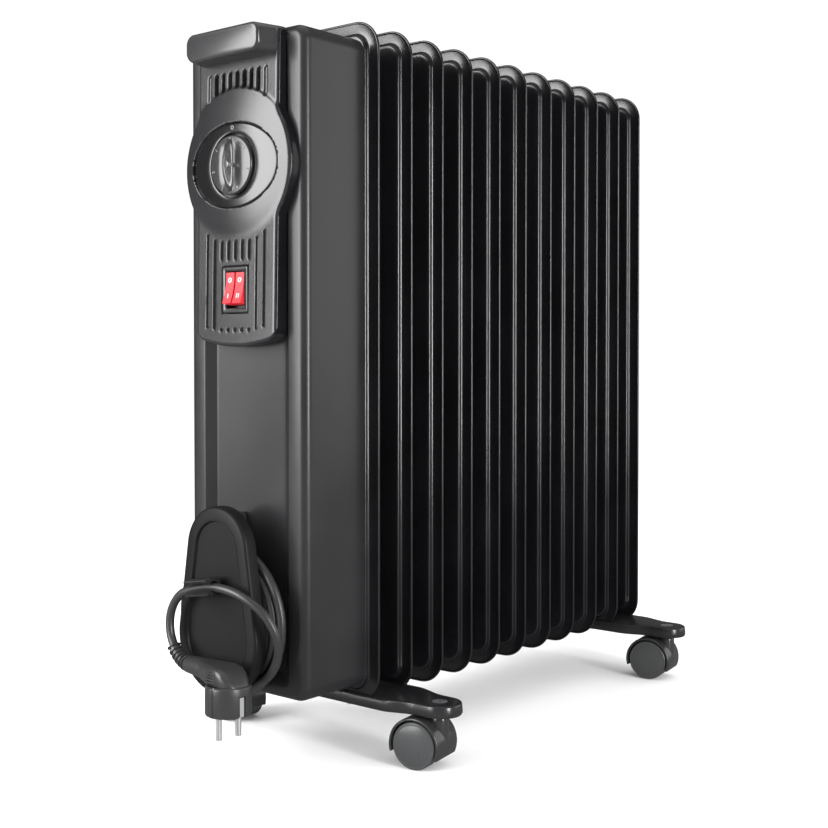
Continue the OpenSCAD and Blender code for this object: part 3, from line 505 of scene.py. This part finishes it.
def knob_shape():
    """Turned rim, and a height field: a dome, a blade that falls with the square of z, and two scoops.

    Columns are s times the chord of the disc and crowd towards the blade.
    """
    rim = [(0.0, -4.4), (23.9, -4.4), (24.4, -3.9), (24.5, -1.2), (24.4, -0.5), (24.0, 0.05), (23.5, 0.25)]
    parts = [facing_front(turned(rim, 96, False, False), (0.0, KNOB_Y, KNOB_Z))]
    flank = np.linspace(0.24, 1.0, 26)
    s = np.concatenate([-flank[::-1], np.linspace(-0.225, 0.225, 45), flank])
    q = np.linspace(0.0, np.pi, 90)
    z = -KNOB_R * np.cos(q)[:, None] * 0.9995
    x = s[None, :] * np.sqrt(KNOB_R**2 - z * z)
    z = np.repeat(z, len(s), 1)
    rad = np.hypot(x, z) / KNOB_R
    dome = 0.25 + 1.2 * (1.0 - rad**2)
    crest = 7.6 * np.maximum(1.0 - (z / 21.5) ** 2, 0.0) ** 0.7
    blade = step(3.4, 0.5, np.abs(x)) ** 1.3
    scoop = 1.5 * np.exp(-(((np.abs(x) - 6.0) / 4.5) ** 2)) * np.maximum(1.0 - (z / 19.5) ** 2, 0.0)
    h = dome + crest * blade - scoop * (1.0 - blade)
    parts.append((np.stack([x, KNOB_Y - h, z + KNOB_Z], -1).reshape(-1, 3), sheet_faces(*x.shape)))
    return parts


def egg_outline(shrink, n_low=60, n_top=44):
    """Outline of a large and a small circle joined by their outer tangents, moved in by shrink."""
    r1, r2 = EGG_LOW_R - shrink, EGG_TOP_R - shrink
    lean = np.arcsin((r1 - r2) / EGG_GAP)
    a = np.linspace(np.pi - lean, 2.0 * np.pi + lean, n_low)
    b = np.linspace(lean, np.pi - lean, n_top)
    low = np.stack([r1 * np.cos(a), PLATE_Z + r1 * np.sin(a)], 1)
    top = np.stack([r2 * np.cos(b), PLATE_Z + EGG_GAP + r2 * np.sin(b)], 1)
    return np.concatenate([low, top])


def winder_plate_shape():
    """Egg-shaped rings: hollow behind, rounded at the edge, with a fine ridge before the field's step."""
    edge = [(2.4, 3.4), (2.4, 11.5), (0.0, 11.5), (0.0, 3.0), (0.35, 1.6), (1.2, 0.5), (2.6, 0.0)]
    ridge = [(10.4, 0.0), (10.8, -0.4), (11.4, -0.45), (11.9, 0.1), (12.4, 1.6), (14.0, 1.7)]
    return skin([at_depth(egg_outline(i), PLATE_Y + d) for i, d in edge + ridge])


def winder_field_shape():
    """Height field over the plate's field: x is s times the egg's half-width, rows crowd towards the poles.

    The lower part sinks behind a smooth step taken from a rounded-box distance, with two narrow slots in it.
    """
    r1, r2, gap = 34.4, 23.4, EGG_GAP
    lean = np.arcsin((r1 - r2) / gap)
    q = np.linspace(0.0, np.pi, 170)
    z = PLATE_Z - r1 + 0.05 + (gap + r1 + r2 - 0.1) * (1.0 - np.cos(q)) / 2.0
    low = np.sqrt(np.maximum(r1**2 - (z - PLATE_Z) ** 2, 0.0))
    top = np.sqrt(np.maximum(r2**2 - (z - PLATE_Z - gap) ** 2, 0.0))
    flank = (r1 - (z - PLATE_Z) * np.sin(lean)) / np.cos(lean)
    w = np.where(z > PLATE_Z + gap + r2 * np.sin(lean), top, flank)
    w = np.where(z < PLATE_Z + r1 * np.sin(lean), low, w)
    s = np.linspace(-1.0, 1.0, 150)
    x = s[None, :] * w[:, None]
    z = np.repeat(z[:, None], len(s), 1)
    dx, dz = np.abs(x) - 20.0, np.abs(z - 114.0) - 24.0
    away = np.hypot(np.maximum(dx, 0.0), np.maximum(dz, 0.0)) + np.minimum(np.maximum(dx, dz), 0.0) - 8.0
    y = PLATE_Y + 1.55 + 3.4 * step(2.5, -4.0, away)
    for cx in (-18.2, 7.8):
        y = y + 2.6 * step(0.35, -0.35, slot_distance(x, z, cx, 121.2, 146.8, 0.8))
    return np.stack([x, y, z], -1).reshape(-1, 3), sheet_faces(*x.shape)


def clip_shape():
    """Open channel in section, round inside, with two lips at its mouth, carried along the cord."""
    a = np.radians(np.linspace(-28.0, -332.0, 26))
    bore = CLIP_BORE * np.stack([np.cos(a), np.sin(a)], 1)
    lip = [(6.0, 2.8), (8.6, 5.2), (8.4, 6.2), (7.4, 6.5), (5.2, 5.7)]
    upper = np.array(lip + [(3.4, 7.1), (-4.0, 7.6), (-6.2, 7.0), (-7.2, 5.4)])
    lower = upper[::-1] * [1, -1]
    sec = np.concatenate([bore, upper, lower])
    lean = np.radians(CLIP_LEAN)
    end = CLIP_HALF - 0.5
    rings = []
    for t, k in ((-CLIP_HALF, 0.95), (-end, 1.0), (end, 1.0), (CLIP_HALF, 0.95)):
        x = t * np.cos(lean) - k * sec[:, 1] * np.sin(lean)
        z = t * np.sin(lean) + k * sec[:, 1] * np.cos(lean)
        rings.append(np.stack([x, -k * sec[:, 0], z], 1) + CLIP_SPOT)
    return skin(rings)


# Chosen points of the free run of the cord, as in the part's source.
ROUTE = np.array([
    [35.5, -94.8, 78.5], [48, -95.8, 87], [58, -98, 98.5], [64.5, -102, 112.5], [64.5, -107, 127.5],
    [57.5, -112, 141], [45, -116.5, 150.5], [29, -119.5, 156.2], [11, -120.3, 157.6], [-4, -120.3, 156],
    [-18.8, -120.4, 152], [-28.6, -120.7, 148.5], [-36.6, -121, 141.8], [-41.8, -121.4, 132.8],
    [-43.6, -121.8, 122.5], [-41.8, -122.2, 112.2], [-37.2, -122.8, 104], [-32.9, -123.5, 99.5]], float)


def winding():
    """Turns round the spool: angle grows evenly, depth moves a strand a turn, then one layer further out."""
    start, end = np.radians(150.0), np.radians(309.2 + 1080.0)
    a = np.linspace(start, end, 62)
    t = (a - start) / (2.0 * np.pi)
    r = WOUND_R + STRAND * step(1.85, 2.25, t)
    y = -80.4 - STRAND * np.clip(t, 0.0, 2.0)
    y = np.where(t > 2.0, -94.8 + 5.0 * np.sin(np.clip(t - 2.0, 0.0, 1.0) * np.pi) ** 2, y)
    z = PLATE_Z + 13.0 + 4.0 * np.sin(a) + r * np.sin(a)
    x = r * np.cos(a)
    return np.stack([x, y, z], 1)


def smooth_path(p, per=4):
    """Catmull-Rom curve through the points, a few between each pair."""
    q = np.concatenate([[2 * p[0] - p[1]], p, [2 * p[-1] - p[-2]]])
    t = np.linspace(0.0, 1.0, per, endpoint=False)[None, :, None]
    a, b, c, d = (q[i : len(q) - 3 + i, None] for i in range(4))
    s = 0.5 * (2 * b + (c - a) * t + (2 * a - 5 * b + 4 * c - d) * t**2 + (3 * b - a - 3 * c + d) * t**3)
    return np.concatenate([s.reshape(-1, 3), p[-1:]])


def bar_plan(inset, k=14):
    """Foot bar in plan, a wide middle narrowing to round tips, moved in by inset."""
    a = np.linspace(-np.pi / 2.0, np.pi / 2.0, k)
    r = 18.5 - inset
    tip = np.stack([131.0 + r * np.cos(a), r * np.sin(a)], 1)
    q = np.linspace(1.0, 0.0, 12)
    flank = np.stack([86.0 + 34.0 * q, (18.5 + 8.5 * step(1.0, 0.0, q)) - inset], 1)
    quarter = np.concatenate([flank[::-1] * [1, -1], tip, flank])
    return np.concatenate([quarter, quarter * [-1, -1]])


def foot_bar_shape(y):
    """Plan rings from the underside up, with a rolled upper edge and a chamfered lower one."""
    rings = []
    chamfer = ((2.6, 45.5), (1.0, 45.9), (0.2, 47.0), (0.0, 49.0))
    roll = ((0.5, 54.4), (0.8, 55.3), (1.5, 55.8), (2.6, 56.0))
    for inset, z in chamfer + roll:
        rings.append(at_height(bar_plan(inset) + [0.0, y], z))
    return skin(rings)


def caster_frame(side, y):
    """Axes of a caster: x away from the wheels, z up, turned by its resting angle."""
    a = np.radians(CASTER_YAW if side > 0 else 180.0 - CASTER_YAW)
    axes = ((np.cos(a), np.sin(a), 0.0), (-np.sin(a), np.cos(a), 0.0), (0.0, 0.0, 1.0))
    return (side * STEM_X, y, 0.0), axes


def hood_parts():
    """Band round the axle with rolled rims, from one low edge to the other, a web and the stem's neck."""
    a = np.radians(np.linspace(-25.0, 197.0, 44))
    sec = np.array([(21.4, -17.2), (21.5, -17.7), (22.4, -17.9), (23.2, -17.5), (23.6, -16.6), (23.6, 16.6),
                    (23.2, 17.5), (22.4, 17.9), (21.5, 17.7), (21.4, 17.2)])
    r, across = sec.T
    rings = [np.stack([r * np.cos(t) - TRAIL, across, r * np.sin(t) + WHEEL_R], 1) for t in a]
    parts = [skin(rings)]
    web = np.stack([22.5 * np.cos(a) - TRAIL, 22.5 * np.sin(a) + WHEEL_R], 1)
    parts.append(skin([at_depth(web, y) for y in (-3.4, 3.4)]))
    b = np.linspace(0.0, 2.0 * np.pi, 40, endpoint=False)
    neck = []
    for r, z in ((7.6, 0.0), (7.6, 41.0), (7.3, 43.2), (6.6, 44.3), (4.2, 44.4)):
        x, y = r * np.cos(b), r * np.sin(b)
        foot = WHEEL_R + np.sqrt(np.maximum(22.4**2 - (x + TRAIL) ** 2, 0.0))
        neck.append(np.stack([x, y, foot if z == 0.0 else np.full(40, z)], 1))
    parts.append(skin(neck))
    return parts


def wheel_parts(s):
    """Turned tread and domed face: radius against distance from the middle web."""
    tread = [(2.6, 4.0), (18.4, 4.0), (19.5, 4.5), (WHEEL_R, 5.6), (WHEEL_R, 15.6), (19.7, 16.7)]
    disc = [(19.0, 17.3), (18.2, 17.45), (17.6, 17.2), (17.2, 17.3), (15.0, 17.9), (11.0, 18.5),
            (6.0, 18.95), (0.0, 19.1)]
    wheel = turned(tread + disc, 64, False, False)
    return moved(wheel, (-TRAIL, 0.0, WHEEL_R), ((1, 0, 0), (0, 0, 1), (0, s, 0)))


def plug_parts():
    """Notched round base with a raised rim, a sloping body lofted along x, and a ribbed sleeve on an arc."""
    a = np.linspace(0.0, 2.0 * np.pi, 180, endpoint=False)
    notch = step(3.0, 2.6, np.abs(18.5 * np.sin(a)))
    groove = sum(0.7 * step(1.3, 0.9, np.abs(a - np.radians(at)) * 18.5) for at in (248.0, 282.0))
    rings = []
    side = ((0.5, 0.0), (17.4, 0.0), (18.2, 0.5), (18.5, 1.4), (18.5, 16.5), (18.5, 17.0), (18.5, 21.6))
    top = ((18.1, 23.0), (17.2, 23.8), (16.2, 23.8), (15.5, 23.0), (15.0, 20.0), (0.5, 19.6))
    for r, z in side + top:
        q = r - (2.6 * notch if r > 16.0 and z < 16.8 else 0.0) - (groove if r > 18.0 else 0.0)
        rings.append(np.stack([q * np.cos(a), q * np.sin(a), np.full(180, z)], 1))
    parts = [skin(rings)]
    rings = []
    for x, hy, z0, z1 in (
        (16.2, 6.0, 19.0, 23.6), (14.5, 8.6, 19.0, 26.2), (11.5, 11.2, 19.0, 30.2), (7.5, 12.9, 19.0, 34.4),
        (3.0, 13.6, 19.0, 37.2), (-3.0, 13.4, 19.0, 38.2), (-10.0, 12.4, 19.4, 38.3),
        (-17.0, 10.8, 20.6, 38.2), (-23.0, 9.4, 21.8, 38.2), (-29.0, 8.4, 22.4, 38.4)):
        o = rounded_box_outline(hy, z0, z1, min(5.4, (z1 - z0) / 2.0 - 0.1), 6)
        rings.append(np.stack([np.full(len(o), x), o[:, 0], o[:, 1]], 1))
    parts.append(skin(rings))
    for i in range(4):
        parts.append(block((-13.0 + i, -14.1, 25.4 + 2.4 * i), (1.0, -12.2, 26.6 + 2.4 * i), 0.4))
    bend = np.radians(np.linspace(218.0, 270.0, 79))
    arc = np.stack([-51.9 + 30.0 * np.cos(bend), np.zeros(79), 60.5 + 30.0 * np.sin(bend)], 1)
    run = np.stack([np.linspace(-51.4, -24.0, 24), np.zeros(24), np.full(24, 30.5)], 1)
    path = np.concatenate([arc, run])
    along = np.concatenate([[0.0], np.cumsum(np.linalg.norm(np.diff(path, axis=0), axis=1))])
    wave = np.abs((along - 2.6) / 4.4 % 1.0 - 0.5) * 2.0
    rib = 1.5 * step(0.35, 0.55, wave) * (along > 1.2) * (along < 25.6)
    radius = 5.7 + 2.4 * step(0.0, 48.0, along) - rib
    radius[0] = 4.2
    parts.append(bent_tube(path, radius, 28))
    turn = np.radians(-6.0)
    axes = ((np.cos(turn), np.sin(turn), 0.0), (-np.sin(turn), np.cos(turn), 0.0), (0.0, 0.0, 1.0))
    return [moved(q, (38.0, -131.0, 62.0), axes) for q in parts]


def numeral(word, size, where, turn=0.0):
    """Flat numeral as a mesh, facing the front, turned about its middle and set at a place."""
    curve = bpy.data.curves.new("numeral", "FONT")
    curve.body = word
    curve.size = size
    curve.align_x = "CENTER"
    curve.align_y = "CENTER"
    curve.extrude = 0.12
    holder = bpy.data.objects.new("numeral", curve)
    bpy.context.scene.collection.objects.link(holder)
    bpy.context.view_layer.update()
    mesh = bpy.data.meshes.new_from_object(holder)
    bpy.data.objects.remove(holder)
    n = len(mesh.vertices)
    v = np.empty(n * 3)
    mesh.vertices.foreach_get("co", v)
    v = v.reshape(-1, 3)
    faces = [list(p.vertices) for p in mesh.polygons]
    c, s = np.cos(turn), np.sin(turn)
    flat = np.stack([v[:, 0] * c - v[:, 1] * s, -v[:, 2], v[:, 0] * s + v[:, 1] * c], 1)
    bpy.data.meshes.remove(mesh)
    return flat + np.asarray(where, float), faces


# ---------- operators ----------


class RADIATOR_PG_looks(bpy.types.PropertyGroup):
    """Colours of the finishes, sizes of the fine pieces, and the stage and its light."""

    fin_colour: bpy.props.FloatVectorProperty(
        name="Fins", description="Colour of the enamel on the fins", subtype="COLOR",
        default=(0.007, 0.007, 0.008), min=0.0, max=1.0)
    cover_colour: bpy.props.FloatVectorProperty(
        name="Cover", description="Colour of the enamel on the front cover", subtype="COLOR",
        default=(0.0135, 0.0135, 0.0144), min=0.0, max=1.0)
    plastic_colour: bpy.props.FloatVectorProperty(
        name="Plastic", description="Colour of the control panel, the clip and the foot bars",
        subtype="COLOR", default=(0.0135, 0.0135, 0.0145), min=0.0, max=1.0)
    dial_colour: bpy.props.FloatVectorProperty(
        name="Dial plate", description="Colour of the glossy plate behind the knob", subtype="COLOR",
        default=(0.0050, 0.0050, 0.0055), min=0.0, max=1.0)
    knob_colour: bpy.props.FloatVectorProperty(
        name="Knob", description="Colour of the knob, the handle and the caster hoods", subtype="COLOR",
        default=(0.0225, 0.0225, 0.0236), min=0.0, max=1.0)
    winder_colour: bpy.props.FloatVectorProperty(
        name="Winder", description="Colour of the cord winder", subtype="COLOR",
        default=(0.0062, 0.0062, 0.0068), min=0.0, max=1.0)
    wheel_colour: bpy.props.FloatVectorProperty(
        name="Wheels", description="Colour of the caster wheels", subtype="COLOR",
        default=(0.044, 0.045, 0.046), min=0.0, max=1.0)
    cord_colour: bpy.props.FloatVectorProperty(
        name="Cord", description="Colour of the mains cord and its plug", subtype="COLOR",
        default=(0.021, 0.021, 0.022), min=0.0, max=1.0)
    rocker_colour: bpy.props.FloatVectorProperty(
        name="Rockers", description="Colour of the two rocker switches", subtype="COLOR",
        default=(0.54, 0.026, 0.035), min=0.0, max=1.0)
    cord_diameter: bpy.props.FloatProperty(
        name="Cord diameter", description="Thickness of the mains cord", unit="LENGTH",
        default=0.0072, min=0.006, max=0.008, precision=4)
    numeral_height: bpy.props.FloatProperty(
        name="Numeral height", description="Height of the numerals round the knob", unit="LENGTH",
        default=0.0044, min=0.003, max=0.006, precision=4)
    floor_size: bpy.props.FloatProperty(
        name="Floor size", description="Length of each side of the floor", unit="LENGTH",
        default=24.0, min=2.0, max=100.0)
    front_power: bpy.props.FloatProperty(
        name="Front light", description="Power of the high light to the front left", unit="POWER",
        default=98.0)
    side_power: bpy.props.FloatProperty(
        name="Side light", description="Power of the wide light to the right and behind", unit="POWER",
        default=20.0)
    strip_power: bpy.props.FloatProperty(
        name="Strip light", description="Power of the narrow light to the right", unit="POWER", default=46.0)
    top_power: bpy.props.FloatProperty(
        name="Top light", description="Power of the light overhead", unit="POWER", default=16.0)
    sky: bpy.props.FloatProperty(
        name="Sky", description="Strength of the surrounding light in glossy surfaces", subtype="FACTOR",
        default=0.12)
    floor_colour: bpy.props.FloatVectorProperty(
        name="Floor", description="Colour of the floor", subtype="COLOR", default=(0.97, 0.97, 0.97))


class RADIATOR_OT_camera(bpy.types.Operator):
    """Places the camera in front and to the right, at mid height"""

    bl_idname = "radiator.camera"
    bl_label = "Camera"

    def execute(self, context):
        data = bpy.data.cameras.new("camera")
        cam = bpy.data.objects.new("camera", data)
        context.scene.collection.objects.link(cam)
        cam.location = (0.80166, (-827.45 + ORIGIN_Y) / 1000.0, 0.34913)
        cam.rotation_euler = (np.radians(90.0 - 1.183), 0.0, np.radians(39.553))
        data.lens = 56.62
        data.sensor_width = 36.0
        data.shift_x = 0.0019
        data.shift_y = -0.0444
        data.clip_end = 50.0
        context.scene.camera = cam
        return {"FINISHED"}


class RADIATOR_OT_cord(bpy.types.Operator):
    """Mains cord: wound turns, the free run through the clip, and its plug"""

    bl_idname = "radiator.cord"
    bl_label = "Cord and plug"

    def execute(self, context):
        coil = winding()
        lean = np.radians(30.0)
        boot = np.array([-14.0, -80.4, 204.0]) - 36.0 * np.array([np.sin(lean), 0.0, np.cos(lean)])
        pts = smooth_path(np.concatenate([[boot], coil, ROUTE[1:]]), 3)
        pts = (pts + [0.0, ORIGIN_Y, 0.0]) / 1000.0
        curve = bpy.data.curves.new("mains_cord", "CURVE")
        curve.dimensions = "3D"
        curve.bevel_depth = looks().cord_diameter / 2.0
        curve.bevel_resolution = 4
        curve.use_fill_caps = True
        line = curve.splines.new("POLY")
        line.points.add(len(pts) - 1)
        line.points.foreach_set("co", np.concatenate([pts, np.ones((len(pts), 1))], 1).ravel())
        line.use_smooth = True
        cord = bpy.data.objects.new("mains_cord", curve)
        context.scene.collection.objects.link(cord)
        curve.materials.append(cord_rubber())
        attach(cord, "heater")
        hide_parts("cord_coil", "cord_tail")
        plug = make("mains_plug", plug_parts(), cord_rubber(), "heater", ("plug_body",))
        return {"FINISHED"}


class RADIATOR_OT_fins(bpy.types.Operator):
    """Eleven pressed fins"""

    bl_idname = "radiator.fins"
    bl_label = "Fins"

    def execute(self, context):
        for i, (lo, hi) in enumerate(FIN_BOX):
            node = "fin_%02d" % (i + 1)
            make("pressed_" + node, [fin_shape(lo, hi)], black_enamel(), "heater", (node,),
                 40.0)
        return {"FINISHED"}


class RADIATOR_OT_cover(bpy.types.Operator):
    """Drawn front cover with its sunk channel"""

    bl_idname = "radiator.cover"
    bl_label = "Front cover"

    def execute(self, context):
        make("drawn_cover", [cover_shape()], grey_enamel(), "heater", ("front_cover",), 50.0)
        return {"FINISHED"}


class RADIATOR_OT_panel(bpy.types.Operator):
    """Moulded control panel, dial plate and handle block"""

    bl_idname = "radiator.panel"
    bl_label = "Control panel"

    def execute(self, context):
        panel = make("moulded_panel", [panel_shape()], moulded_black(), "heater", ("control_panel",),
                     60.0)
        # Painted shade: the panel's outer side walls, found by their sideways normals, get the darker copy
        # of the plastic instead of the panel's own black.
        panel.data.materials.append(side_black())
        normal = np.empty(len(panel.data.polygons) * 3)
        panel.data.polygons.foreach_get("normal", normal)
        side = np.abs(normal.reshape(-1, 3)[:, 0]) > 0.8
        middle = np.empty(len(panel.data.polygons) * 3)
        panel.data.polygons.foreach_get("center", middle)
        outer = np.abs(middle.reshape(-1, 3)[:, 0]) > 0.044
        panel.data.polygons.foreach_set("material_index", (side & outer).astype(np.int32))
        make("switch_frame", [switch_frame_shape()], moulded_black(), "heater", ("switch_body",),
             40.0)
        make("dial_plate", [dial_shape()], dial_black(), "heater", (), 40.0)
        make("handle_block", [handle_shape()], knob_black(), "heater", (), 40.0)
        return {"FINISHED"}


class RADIATOR_OT_controls(bpy.types.Operator):
    """Thermostat knob with its numerals, and the marks of the rockers"""

    bl_idname = "radiator.controls"
    bl_label = "Knob and rockers"

    def execute(self, context):
        make("grip_knob", knob_shape(), knob_black(), "knob", ("control_knob",), 50.0)
        tall = looks().numeral_height * 1000.0
        marks = [numeral("0", tall, (0.0, RIM - 16.75, KNOB_Z + 20.6))]
        for n in range(1, 7):
            a = np.radians(51.43 * (7 - n))
            spot = (20.6 * np.sin(a), RIM - 16.75, KNOB_Z + 20.6 * np.cos(a))
            marks.append(numeral(str(n), tall, spot, -a))
        make("knob_numerals", marks, mark_grey(), "knob", ())
        ring = turned([(1.1, 0.0), (1.7, 0.0), (1.7, 0.35), (1.1, 0.35), (1.1, 0.0)], 24, False, False)
        ring = facing_front(ring, (0.0, RIM - 13.85, 533.0))
        make("dial_pointer", [ring], mark_grey(), "heater", ())
        for side, body in ((-1, "rocker_l"), (1, "rocker_r")):
            tilt = np.radians(-11.0)
            axes = ((1, 0, 0), (0, np.cos(tilt), np.sin(tilt)), (0, -np.sin(tilt), np.cos(tilt)))
            place = (side * ROCKER_X, RIM - 5.7, SWITCH_Z)
            o = turned([(1.3, 0.0), (2.0, 0.0), (2.0, 0.35), (1.3, 0.35), (1.3, 0.0)], 28, False, False)
            o = facing_front(o, (0.0, -7.2, 6.8))
            parts = [moved(o, place, axes)]
            count = (0.0,) if side < 0 else (-1.1, 1.1)
            for x in count:
                parts.append(moved(block((x - 0.35, -7.65, -8.6), (x + 0.35, -6.9, -4.6), 0.2), place, axes))
            make("rocker_marks_" + body[-1], parts, mark_white(), body, ())
        return {"FINISHED"}


class RADIATOR_OT_winder(bpy.types.Operator):
    """Winder plate with its cord clip"""

    bl_idname = "radiator.winder"
    bl_label = "Cord winder"

    def execute(self, context):
        foot = block((-10.0, -114.5, 150.0), (2.0, -107.0, 162.0), 1.0)
        make("winder_face", [winder_plate_shape(), foot], winder_black(), "heater", ("winder_plate",),
             40.0)
        make("winder_field", [winder_field_shape()], winder_black(), "heater", (), 50.0)
        make("cord_clip", [clip_shape()], moulded_black(), "heater", (), 30.0)
        return {"FINISHED"}


class RADIATOR_OT_feet(bpy.types.Operator):
    """Foot bars, caster hoods and wheels"""

    bl_idname = "radiator.feet"
    bl_label = "Feet and casters"

    def execute(self, context):
        for name, y in FOOT_Y.items():
            node = "foot_bar_" + name
            make("rounded_bar_" + name, [foot_bar_shape(y)], moulded_black(), "heater", (node,),
                 40.0)
        corners = (("fr", 1, "front"), ("fl", -1, "front"), ("rr", 1, "rear"), ("rl", -1, "rear"))
        for key, side, end in corners:
            where, axes = caster_frame(side, FOOT_Y[end])
            make("hood_" + key, [moved(p, where, axes) for p in hood_parts()], knob_black(), "caster_" + key,
                 ("caster_hood_" + key,), 40.0)
            for tag, s in (("a", -1), ("b", 1)):
                which = "%s_%s" % (key, tag)
                make("tyre_" + which, [moved(wheel_parts(s), where, axes)], tread_black(),
                     "wheel_body_" + which, ("wheel_" + which,), 40.0)
        return {"FINISHED"}


class RADIATOR_OT_metal(bpy.types.Operator):
    """Finishes of the parts that keep their own shape"""

    bl_idname = "radiator.finishes"
    bl_label = "Finishes"

    def execute(self, context):
        by_slot = {
            "black_paint": black_enamel,
            "grey_paint": grey_enamel,
            "black_plastic": moulded_black,
            "soft_black_plastic": knob_black,
            "red_plastic": rocker_red,
            "white_plastic": ceramic,
            "wire_sleeve": rocker_red,
            "black_rubber": cord_rubber,
            "plated_steel": plated,
            "brass_nut": brass,
        }
        for sub in frame["record"]["subparts"]:
            mesh = frame["nodes"][sub["node"]].data
            mesh.materials.clear()
            mesh.materials.append(by_slot[sub["material_slot"]]())
        return {"FINISHED"}


class RADIATOR_OT_stage(bpy.types.Operator):
    """Pale floor and soft lights"""

    bl_idname = "radiator.stage"
    bl_label = "Stage"

    def execute(self, context):
        props = looks()
        far = props.floor_size / 2.0
        mesh = bpy.data.meshes.new("floor")
        corners = [(-far, -far, -0.0002), (far, -far, -0.0002), (far, far, -0.0002), (-far, far, -0.0002)]
        mesh.from_pydata(corners, [], [(0, 1, 2, 3)])
        floor = bpy.data.objects.new("floor", mesh)
        context.scene.collection.objects.link(floor)
        mesh.materials.append(floor_white(tuple(props.floor_colour)))
        world = bpy.data.worlds.new("studio")
        world.use_nodes = True
        nt = world.node_tree
        back = nt.nodes["Background"]
        back.inputs["Color"].default_value = (1.0, 1.0, 1.0, 1.0)
        back.inputs["Strength"].default_value = props.sky
        seen = nt.nodes.new("ShaderNodeBackground")
        seen.inputs["Color"].default_value = (1.0, 1.0, 1.0, 1.0)
        seen.inputs["Strength"].default_value = 1.05
        path = nt.nodes.new("ShaderNodeLightPath")
        mix = nt.nodes.new("ShaderNodeMixShader")
        nt.links.new(path.outputs["Is Glossy Ray"], mix.inputs["Fac"])
        nt.links.new(seen.outputs["Background"], mix.inputs[1])
        nt.links.new(back.outputs["Background"], mix.inputs[2])
        nt.links.new(mix.outputs["Shader"], nt.nodes["World Output"].inputs["Surface"])
        context.scene.world = world
        lights = (
            ("front_softbox", (-0.93, -2.20, 1.00), (0.0, 0.0, 0.45), (1.35, 1.8), props.front_power),
            ("side_softbox", (1.70, 1.90, 0.90), (0.0, 0.0, 0.45), (2.2, 1.75), props.side_power),
            ("strip_softbox", (2.30, -0.45, 0.56), (0.08, 0.0, 0.30), (0.34, 1.10), props.strip_power),
            ("top_softbox", (0.2, -0.1, 2.6), (0.2, -0.1, 0.0), (2.4, 2.4), props.top_power),
        )
        for name, spot, aim, size, power in lights:
            data = bpy.data.lights.new(name, "AREA")
            data.shape = "RECTANGLE"
            data.size, data.size_y = size
            data.energy = power
            lamp = bpy.data.objects.new(name, data)
            context.scene.collection.objects.link(lamp)
            lamp.visible_camera = False
            lamp.location = spot
            lamp.rotation_euler = (Vector(aim) - Vector(spot)).to_track_quat("-Z", "Y").to_euler()
        context.scene.view_settings.view_transform = "Standard"
        return {"FINISHED"}


OPERATORS = (
    RADIATOR_OT_camera,
    RADIATOR_OT_cord,
    RADIATOR_OT_metal,
    RADIATOR_OT_fins,
    RADIATOR_OT_cover,
    RADIATOR_OT_panel,
    RADIATOR_OT_controls,
    RADIATOR_OT_winder,
    RADIATOR_OT_feet,
    RADIATOR_OT_stage,
)


class RADIATOR_PT_sidebar(bpy.types.Panel):
    """Lists the steps that build the radiator"""

    bl_idname = "RADIATOR_PT_sidebar"
    bl_label = "Column Radiator"
    bl_space_type = "VIEW_3D"
    bl_region_type = "UI"
    bl_category = "Radiator"

    def draw(self, context):
        for key in RADIATOR_PG_looks.__annotations__:
            self.layout.prop(context.scene.radiator_looks, key)
        for op in OPERATORS:
            self.layout.operator(op.bl_idname)


CLASSES = (RADIATOR_PG_looks, *OPERATORS, RADIATOR_PT_sidebar)


def register():
    for cls in CLASSES:
        bpy.utils.register_class(cls)
    bpy.types.Scene.radiator_looks = bpy.props.PointerProperty(type=RADIATOR_PG_looks)


def unregister():
    del bpy.types.Scene.radiator_looks
    for cls in reversed(CLASSES):
        bpy.utils.unregister_class(cls)


def main():
    """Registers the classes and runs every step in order."""
    register()
    for op in OPERATORS:
        group, name = op.bl_idname.split(".")
        getattr(getattr(bpy.ops, group), name)()


if __name__ == "__main__":
    main()
